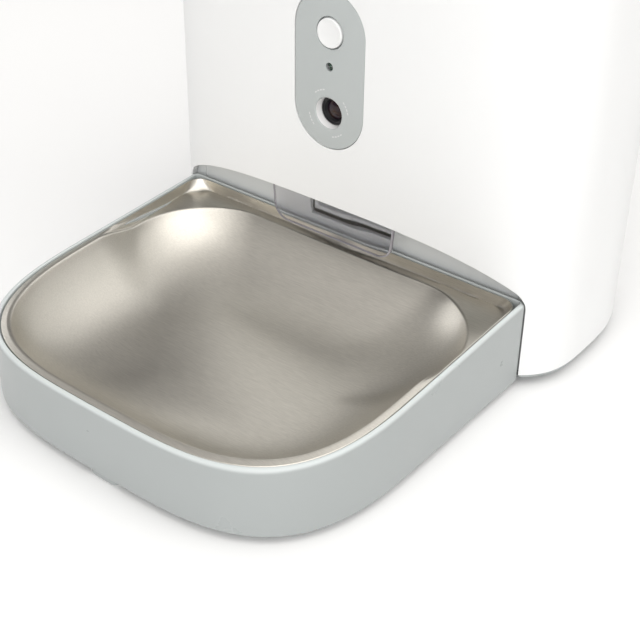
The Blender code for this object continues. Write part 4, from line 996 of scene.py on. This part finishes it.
class FEEDER_OT_camera_parts(Operator):
    """Makes the white cone round the lens, the stepped barrel and the coated front glass"""
    bl_idname = "feeder.camera_parts"
    bl_label = "Camera Parts"

    def execute(self, context):
        centre = (0, 0, LENS_Z)
        near, far, radius = LENS_LOW.y, LENS_HIGH.y, LENS_HIGH.x
        barrel, top, end = BARREL_HIGH.x, BARREL_LOW.y, BARREL_HIGH.y
        glass, low, high = GLASS_HIGH.x, GLASS_LOW.y, GLASS_HIGH.y
        mouth = offsets((0, PANEL_LOW.y), (7.0, 0.45), (7.05, 0.35), (7.13, 0.45))
        cone = profile((radius, near), (radius, far), (barrel + 0.25 * MM, far),
                       offsets((barrel, top), (0.25, 0.3), (0.35, 0)), mouth, (mouth[-1, 0], near))
        finish_piece(turned("lens_cone", cone, centre, "Y", wrap=True), "housing", "cone",
                     ("lens_surround",), 50)
        tube = profile(offsets((0, end), (0.001, 0)), offsets((barrel, end), (-0.3, 0), (0, -0.3)),
                       offsets((barrel, top), (0, 0.35), (-0.1, 0.1), (-0.35, 0), (-0.75, 0),
                               (-0.85, 0.5), (-1.2, 0.5), (-1.3, 0.2), (-1.5, 0.2), (-1.65, 0.8)),
                       (glass - 0.4 * MM, top + 2.2 * MM), offsets((0, top), (0.001, 2.3)))
        finish_piece(turned("lens_tube", tube, centre, "Y"), "housing", "dark",
                     ("lens_barrel",), 25)
        crown = 10 * MM
        turn = np.linspace(0.001, math.asin((glass - 0.35 * MM) / crown), 14)
        dome = np.stack([crown * np.sin(turn), low + crown * (1 - np.cos(turn))], axis=-1)
        front = profile(dome, offsets((glass, high), (-0.3, -0.3), (-0.6, 0)), offsets((0, high), (0.001, 0)))
        finish_piece(turned("lens_front", front, centre, "Y"), "housing", "glass",
                     ("lens_glass",), 50)
        return {"FINISHED"}


class FEEDER_OT_button(Operator):
    """Makes the feed button and the light pipe"""
    bl_idname = "feeder.button"
    bl_label = "Button and Light"

    def execute(self, context):
        near, far, flange = BUTTON_LOW.y, BUTTON_HIGH.y, BUTTON_HIGH.x
        cap, edge, hollow = 6.5 * MM, 0.6 * MM, 0.5 * MM
        dish = np.linspace(0.0, 1.0, 12)[1:]
        face = np.stack([dish * (cap - edge), near + hollow * (1 - dish ** 2)], axis=-1)
        section = profile(offsets((0, near), (0.001, 0.5)), face,
                          arc((cap - edge, near + edge), edge, -90, 0, 6), (cap, far - 1.7 * MM),
                          offsets((flange, far), (-0.2, -1.6), (0, -1.4), (0, -0.2), (-0.2, 0)),
                          offsets((0, far), (0.001, 0)))
        button = turned("button_cap", section, (0, 0, BUTTON_Z), "Y")
        finish_piece(button, "button_unit", "white", ("feed_button",), 40)
        radius, near, far = LIGHT_HIGH.x, LIGHT_LOW.y, LIGHT_HIGH.y
        section = profile(arc((0, near + radius), radius, -89.9, -30, 8), (radius, near + 1.1 * MM),
                          offsets((radius, far), (0, -0.2), (-0.2, 0)), offsets((0, far), (0.001, 0)))
        light = turned("light_pipe", section, (0, 0, LIGHT_Z), "Y", 48)
        finish_piece(light, "housing", "clear", ("status_light",), 40)
        return {"FINISHED"}


def round_foot(name, node):
    """A rubber foot: a turned disc with a rounded foot and a shallow ring groove underneath."""
    low, high, centre, radius = round_box(node)
    section = profile(offsets((0, low), (0.001, 0.5)),
                      offsets((radius, low), (-3.0, 0.5), (-2.7, 0.1), (-2.4, 0)),
                      arc((radius - 1.6 * MM, low + 0.7 * MM), 0.7 * MM, -90, 0, 6),
                      offsets((radius, high), (-0.3, -0.3), (-0.4, 0)), offsets((0, high), (0.001, 0)))
    return turned(name, section, centre)


def cross_screw(name, node):
    """A pan head with a cross recess pressed into it, h = depth (arm(x, y) + arm(y, x)), and its shank."""
    low, high, centre, radius = round_box(node)
    shank, edge, depth = 1.5 * MM, 0.4 * MM, 0.9 * MM
    face = np.linspace(0.02, 0.86, 22) * radius
    head = profile(np.stack([face, 0 * face + low], axis=-1),
                   arc((radius - edge, low + edge), edge, -80, 0, 5),
                   offsets((radius, low), (0, 1.3), (-0.1, 1.4)),
                   (shank, low + 1.45 * MM), (shank, high - 1.5 * MM),
                   offsets((0, high), (0.05, 0)))
    angles = np.linspace(0, 2 * math.pi, 72, endpoint=False)[None, :]
    x, y = np.abs(head[:, :1] * np.cos(angles)), np.abs(head[:, :1] * np.sin(angles))
    narrow, long = (0.62 * MM, 0.38 * MM), (2.0 * MM, 1.6 * MM)
    arms = np.maximum(smooth_step(x, *narrow) * smooth_step(y, *long),
                      smooth_step(y, *narrow) * smooth_step(x, *long))
    z = head[:, 1:] + np.where(head[:, 1:] < low + 0.1 * MM, depth * arms, 0)
    points = np.stack([head[:, :1] * np.cos(angles), head[:, :1] * np.sin(angles), z], axis=-1)
    return ring_mesh(name, points + np.array(centre))


class FEEDER_OT_underside(Operator):
    """Makes the floor pan, the battery cover, the round feet, the screws and their posts"""
    bl_idname = "feeder.underside"
    bl_label = "Underside"

    def execute(self, context):
        sizes = context.scene.feeder_sizes
        pan = merged_copy("base_plate", "floor_pan", "housing", "grey")
        chamfer = offsets((0, 0), (-3, 5.3), (0.4, 5.3), (5, 3.2), (5, 2.5), (-3, 2.5))
        carve(pan, [carried("chamfer", body_plan(sizes, chamfer[:, 0]), chamfer[:, 1:])], 0.25 * MM)
        merged_copy("battery_cover", "cell_door", "cover_unit", "grey", 0.4 * MM)
        merged_copy("recess_panel", "recess_wall", "housing", "recess", 0.3 * MM)
        low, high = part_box("recess_panel")
        gap, cheek_end = 0.2 * MM, 98.2 * MM
        for side, turn in (("left", -1), ("right", 1)):
            near, far = sorted((turn * (high.x + gap), turn * cheek_end))
            outline = rounded_outline(rectangle((near, low.z), (far, high.z)), MM)
            cheek = plate(f"recess_cheek_{side}", outline, low.y, high.y, 0.3 * MM, "Y")
            finish_piece(cheek, "housing", "recess")
        for i in range(1, 5):
            foot = round_foot(f"round_foot_{i}", f"body_foot_{i}")
            finish_piece(foot, "housing", "rubber", (f"body_foot_{i}",))
            screw = cross_screw(f"cross_screw_{i}", f"base_screw_{i}")
            finish_piece(screw, "housing", "steel", (f"base_screw_{i}",))
            self.post(f"screw_post_{i}", f"base_screw_{i}")
        return {"FINISHED"}

    @staticmethod
    def post(name, screw):
        """The hollow post that a base screw bites into: a tube with a slight draught."""
        _, high, centre, _ = round_box(screw)
        foot, crown, bore, top = 5 * MM, 4.8 * MM, 1.8 * MM, high + 19 * MM
        section = profile((foot, SHELL_LOW.z), (crown, top), (bore, top), (bore, SHELL_LOW.z))
        finish_piece(turned(name, section, centre, "Z", 48, wrap=True), "housing", "white")


class FEEDER_OT_hopper(Operator):
    """Makes the food hopper with its funnel, the wheel's ring and its rim"""
    bl_idname = "feeder.hopper"
    bl_label = "Hopper"

    def execute(self, context):
        """Rows run up the outside, from the ring through the eased funnel to the rim, and down the inside.

        The bin's plan is the housing's plan drawn in, and squeezed along Y to its own front and back insets.
        """
        sizes = context.scene.feeder_sizes
        wall, ring_height, funnel_height, shelf_drop = 2 * MM, 28 * MM, 34 * MM, 2 * MM
        side_in, front_in, back_in, gap = 10 * MM, 18.5 * MM, 8 * MM, 0.3 * MM
        low, top, shelf = HOPPER_LOW.z, HOPPER_HIGH.z, HOPPER_HIGH.z - wall
        middle = SHELL_LOW.y + sizes.front_depth
        back = SHELL_HIGH.y - middle
        shell = body_plan(sizes, sizes.shell_wall + gap)[0]
        bin_plan = body_plan(sizes, side_in)[0]
        away = bin_plan[:, 1] - middle
        squeeze = np.where(away < 0, (sizes.front_depth - front_in) / (sizes.front_depth - side_in),
                           (back - back_in) / (back - side_in))
        bin_plan[:, 1] = middle + away * squeeze
        wheel_low, wheel_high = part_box("dispensing_wheel")
        centre_y, radius = (wheel_low.y + wheel_high.y) / 2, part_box("dispenser_floor")[1].x
        angle = np.arctan2(bin_plan[:, 1] - centre_y, bin_plan[:, 0])
        ring = np.stack([radius * np.cos(angle), centre_y + radius * np.sin(angle)], axis=-1)
        rise = np.linspace(0, 1, 20)
        eased = smooth_step(rise, -0.15, 1.12)
        eased[0], eased[-1] = 0, 1
        funnel = ring + eased[:, None, None] * (bin_plan - ring)
        plan = np.concatenate([[ring], funnel, [bin_plan, (bin_plan + shell) / 2, shell]])
        heights = np.concatenate([[low], low + ring_height + funnel_height * rise,
                                  [shelf - shelf_drop, shelf, shelf]])
        within = np.concatenate([[drawn_in(row, wall)[0] for row in plan[:-2]], plan[-1:]])
        within_z = np.concatenate([heights[:-3], [top, top]])
        mesh = carried("hopper_bin", np.concatenate([plan, within[::-1]]),
                       np.concatenate([heights, within_z[::-1]])[:, None])
        finish_piece(mesh, "housing", "white", ("hopper",), 40)
        return {"FINISHED"}


def battery(name, node):
    """A round cell: rolled ends, a sunk negative face and a nub, as one turned profile along X."""
    low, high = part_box(node)
    radius, roll = (high.z - low.z) / 2, 1.2 * MM
    body = high.x - 1.8 * MM
    section = profile(offsets((0, low.x), (0.001, 0.6)),
                      (radius * 0.72, low.x + 0.6 * MM), (radius * 0.78, low.x),
                      arc((radius - roll, low.x + roll), roll, -90, 0, 6),
                      arc((radius - roll, body - roll), roll, 0, 90, 6),
                      (radius * 0.74, body - 0.6 * MM), (5.2 * MM, body - 0.5 * MM),
                      offsets((0, high.x), (4.7, -0.5), (4.1, 0), (0.001, 0)))
    return turned(name, section, (0, (low.y + high.y) / 2, (low.z + high.z) / 2), "X")


class FEEDER_OT_power(Operator):
    """Makes the cells and dresses their bay, the contacts, the inlet and the boards"""
    bl_idname = "feeder.power"
    bl_label = "Power and Electronics"

    def execute(self, context):
        for i in range(1, 4):
            low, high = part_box(f"battery_{i}")
            wrap = f"cell_wrap_{i}"
            FINISHES[wrap] = cell_wrap(wrap, low.x, high.x)
            cell = battery(f"cell_{i}", f"battery_{i}")
            finish_piece(cell, "housing", wrap, (f"battery_{i}",))
        merged_copy("battery_bay", "cell_bay", "housing", "grey", 0.3 * MM)
        for node, finish, slot in (
                ("battery_contact_negative", "steel", "hardware_steel"),
                ("battery_contact_positive", "steel", "hardware_steel"),
                ("power_inlet", "dark", "dark_plastic"), ("inlet_pin", "steel", "hardware_steel"),
                ("speaker", "dark", "dark_plastic"), ("main_board", "board", "board_green"),
                ("camera_board", "board", "board_green"), ("button_board", "board", "board_green"),
                ("wifi_module", "steel", "hardware_steel")):
            merged_copy(node, f"{node}_eased", "housing", finish, 0.15 * MM)
        return {"FINISHED"}


class FEEDER_OT_drive(Operator):
    """Dresses the dispensing wheel, its gears and shafts, the motor, the wheel's floor and the chute"""
    bl_idname = "feeder.drive"
    bl_label = "Dispensing Drive"

    def execute(self, context):
        for node, body, slot, finish, width in (
                ("dispensing_wheel", "wheel_unit", "grey_shell", "grey", 0.35 * MM),
                ("wheel_shaft", "wheel_unit", "hardware_steel", "steel", 0.3 * MM),
                ("wheel_gear", "wheel_unit", "gear_white", "gear", 0.12 * MM),
                ("motor_pinion", "pinion_unit", "gear_brass", "brass", 0.1 * MM),
                ("motor_shaft", "pinion_unit", "hardware_steel", "steel", 0.2 * MM),
                ("gear_motor", "housing", "dark_plastic", "dark", 0.6 * MM),
                ("dispenser_floor", "housing", "white_shell", "white", 0.3 * MM),
                ("chute", "housing", "grey_shell", "recess", 0.4 * MM)):
            merged_copy(node, f"{node}_eased", body, finish, width)
        return {"FINISHED"}


class FEEDER_OT_dryer(Operator):
    """Makes the drying bag and dresses its cup and twist cap"""
    bl_idname = "feeder.dryer"
    bl_label = "Desiccant Holder"

    def execute(self, context):
        merged_copy("desiccant_cup", "drying_cup", "lid_unit", "white", 0.3 * MM)
        merged_copy("desiccant_cap", "drying_cap", "dry_cap_unit", "grey", 0.35 * MM)
        low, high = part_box("desiccant_bag")
        finish_piece(self.bag(low, high), "lid_unit", "bag", ("desiccant_bag",), 60)
        return {"FINISHED"}

    @staticmethod
    def bag(low, high):
        """A filled bag: two sheets that crown between pressed seams, with soft pleats near the seams.

        The crown is the product, over u and v, of (1 - (|t| / seam)^2.6)^0.6.
        """
        count, seam, pull, thin, under = 41, 0.88, 0.05, 0.25 * MM, 0.9
        u, v = np.meshgrid(np.linspace(-1, 1, count), np.linspace(-1, 1, count), indexing="ij")
        half, middle = (high - low) / 2, (high + low) / 2
        across, along = ((1 - np.clip(np.abs(t) / seam, 0, 1) ** 2.6) ** 0.6 for t in (u, v))
        crown = across * along
        pleat = 0.06 * np.cos(11 * math.pi * u) * np.abs(v) ** 3 * crown ** 0.5
        x = middle.x + half.x * u * (1 - pull * (1 - v ** 2))
        y = middle.y + half.y * v * (1 - pull * (1 - u ** 2))
        rise = thin + (half.z - thin) * np.clip(crown + pleat * 0.5, 0, 1)
        rise[[0, -1], :] = 0
        rise[:, [0, -1]] = 0
        upper = np.stack([x, y, middle.z + rise], axis=-1).reshape(-1, 3)
        lower = np.stack([x, y, middle.z - rise * under], axis=-1).reshape(-1, 3)
        index = np.arange(count * count).reshape(count, count)
        quads = np.stack([index[:-1, :-1], index[1:, :-1], index[1:, 1:], index[:-1, 1:]], axis=-1)
        quads = quads.reshape(-1, 4)
        mesh = bpy.data.meshes.new("drying_bag")
        mesh.from_pydata(np.concatenate([upper, lower]).tolist(), [],
                         quads.tolist() + (quads[:, ::-1] + count * count).tolist())
        form = bmesh.new()
        form.from_mesh(mesh)
        bmesh.ops.remove_doubles(form, verts=form.verts, dist=MERGE)
        form.to_mesh(mesh)
        form.free()
        return mesh


def softbox(name, place, target, size, power, tint=(1.0, 1.0, 1.0)):
    """An area light aimed at a point, its size in metres and its power in watts."""
    light = bpy.data.lights.new(name, "AREA")
    light.shape = "RECTANGLE"
    light.size, light.size_y = size
    light.energy = power
    light.color = tint
    lamp = linked(name, light)
    lamp.location = place
    lamp.rotation_euler = (Vector(target) - Vector(place)).to_track_quat("-Z", "Y").to_euler()


class FEEDER_OT_studio(Operator):
    """Makes the pale floor, the soft light and the camera"""
    bl_idname = "feeder.studio"
    bl_label = "Studio"

    def execute(self, context):
        self.floor()
        self.light()
        self.camera()
        context.scene.view_settings.view_transform = "Standard"
        return {"FINISHED"}

    @staticmethod
    def floor():
        """A flat disc: rings of points whose radius grows evenly."""
        count, rows = 64, 8
        angles = np.linspace(0, 2 * math.pi, count, endpoint=False)
        radius = column(np.linspace(0.4, 1.9, rows))
        rings = np.stack([radius * np.cos(angles), radius * np.sin(angles), 0 * radius * angles], axis=-1)
        points = np.concatenate([rings.reshape(-1, 3), [[0, 0, 0]]])
        index = np.arange(rows * count).reshape(rows, count)
        beside = np.roll(index, -1, axis=1)
        quads = np.stack([index[:-1], index[1:], beside[1:], beside[:-1]], axis=-1).reshape(-1, 4)
        middle = np.stack([index[0], beside[0], np.full(count, rows * count)], axis=-1)
        mesh = bpy.data.meshes.new("studio_floor")
        mesh.from_pydata(points.tolist(), [], quads.tolist() + middle.tolist())
        material, tree, shader, place = node_tree("studio_paper")
        paper = tinted(tree, noise(tree, place, 2.0), (0.93, 0.93, 0.93), (0.95, 0.95, 0.95))
        feed(tree, shader, {"Base Color": paper, "Roughness": 0.9, "Specular IOR Level": 0.1})
        mesh.materials.append(material)
        floor = linked("studio_floor", mesh)

    @staticmethod
    def light():
        """Three soft lights, and air that is bright overhead and to the front right, dim at the horizon.

        The camera itself sees the air as a plain pale backdrop.
        """
        world = bpy.data.worlds.new("studio_air")
        world.use_nodes = True
        bpy.context.scene.world = world
        tree = world.node_tree
        place = added(tree, "ShaderNodeTexCoord", "Generated", {})
        towards = added(tree, "ShaderNodeVectorMath", "Value", {0: place, 1: (0.45, -0.30, 0.84)},
                        operation="DOT_PRODUCT")
        level = mapped(tree, towards, (0.12, 0.95), (0.20, 0.91), interpolation_type="SMOOTHSTEP")
        seen = added(tree, "ShaderNodeLightPath", "Is Camera Ray", {})
        strength = added(tree, "ShaderNodeMath", "Value", {0: level, 1: seen}, operation="MAXIMUM")
        feed(tree, tree.nodes["Background"], {"Color": (1.0, 0.985, 0.965, 1.0), "Strength": strength})
        target = (0.0, 0.0, 0.06)
        softbox("key_light", (1.0, -2.0, 0.9), target, (1.7, 1.8), 20.5)
        softbox("left_light", (-2.1, 0.1, 0.9), target, (1.2, 1.0), 8.0)
        softbox("top_light", (0.9, -0.1, 2.4), target, (3.0, 2.6), 31.0, (1.0, 0.99, 0.97))

    @staticmethod
    def camera():
        """The camera looks down at the bowl from the right, over its rounded front."""
        turn, fall, roll = 0.6611, 0.5857, 0.0136
        place, lens, sensor = (0.31493, -0.39707, 0.34502), 73.1, 36.0
        away = Vector((math.sin(turn) * math.cos(fall), -math.cos(turn) * math.cos(fall), math.sin(fall)))
        right = Vector((math.cos(turn), math.sin(turn), 0.0))
        up = away.cross(right)
        rolled_right = right * math.cos(roll) + up * math.sin(roll)
        rolled_up = up * math.cos(roll) - right * math.sin(roll)
        basis = Matrix((rolled_right, rolled_up, away)).transposed().to_4x4()
        data = bpy.data.cameras.new("studio_camera")
        data.lens = lens
        data.sensor_width = sensor
        viewer = linked("studio_camera", data)
        viewer.matrix_world = Matrix.Translation(place) @ basis
        bpy.context.scene.camera = viewer


PIECES = (FEEDER_OT_finishes, FEEDER_OT_housing, FEEDER_OT_lid, FEEDER_OT_tray, FEEDER_OT_bowl,
          FEEDER_OT_flap, FEEDER_OT_panel, FEEDER_OT_camera_parts, FEEDER_OT_button,
          FEEDER_OT_underside, FEEDER_OT_hopper, FEEDER_OT_power, FEEDER_OT_drive, FEEDER_OT_dryer,
          FEEDER_OT_studio)


class FEEDER_PT_sidebar(Panel):
    """The feeder's sizes, colours and pieces"""
    bl_idname = "FEEDER_PT_sidebar"
    bl_label = "Pet Feeder"
    bl_space_type = "VIEW_3D"
    bl_region_type = "UI"
    bl_category = "Feeder"

    def draw(self, context):
        """Lists every size and colour, then a button for each piece."""
        for group in (context.scene.feeder_sizes, context.scene.feeder_colours):
            box = self.layout.box()
            for name in group.__annotations__:
                box.prop(group, name)
        for piece in PIECES:
            self.layout.operator(piece.bl_idname)


CLASSES = (FeederSizes, FeederColours, *PIECES, FEEDER_PT_sidebar)


def register():
    """Adds the classes and the scene's properties."""
    for each in CLASSES:
        bpy.utils.register_class(each)
    bpy.types.Scene.feeder_sizes = PointerProperty(type=FeederSizes)
    bpy.types.Scene.feeder_colours = PointerProperty(type=FeederColours)


def unregister():
    """Takes the properties and the classes away."""
    del bpy.types.Scene.feeder_colours
    del bpy.types.Scene.feeder_sizes
    for each in reversed(CLASSES):
        bpy.utils.unregister_class(each)


def main():
    """Builds every piece in order."""
    register()
    for piece in PIECES:
        group, name = piece.bl_idname.split(".")
        getattr(getattr(bpy.ops, group), name)()


if __name__ == "__main__":
    main()
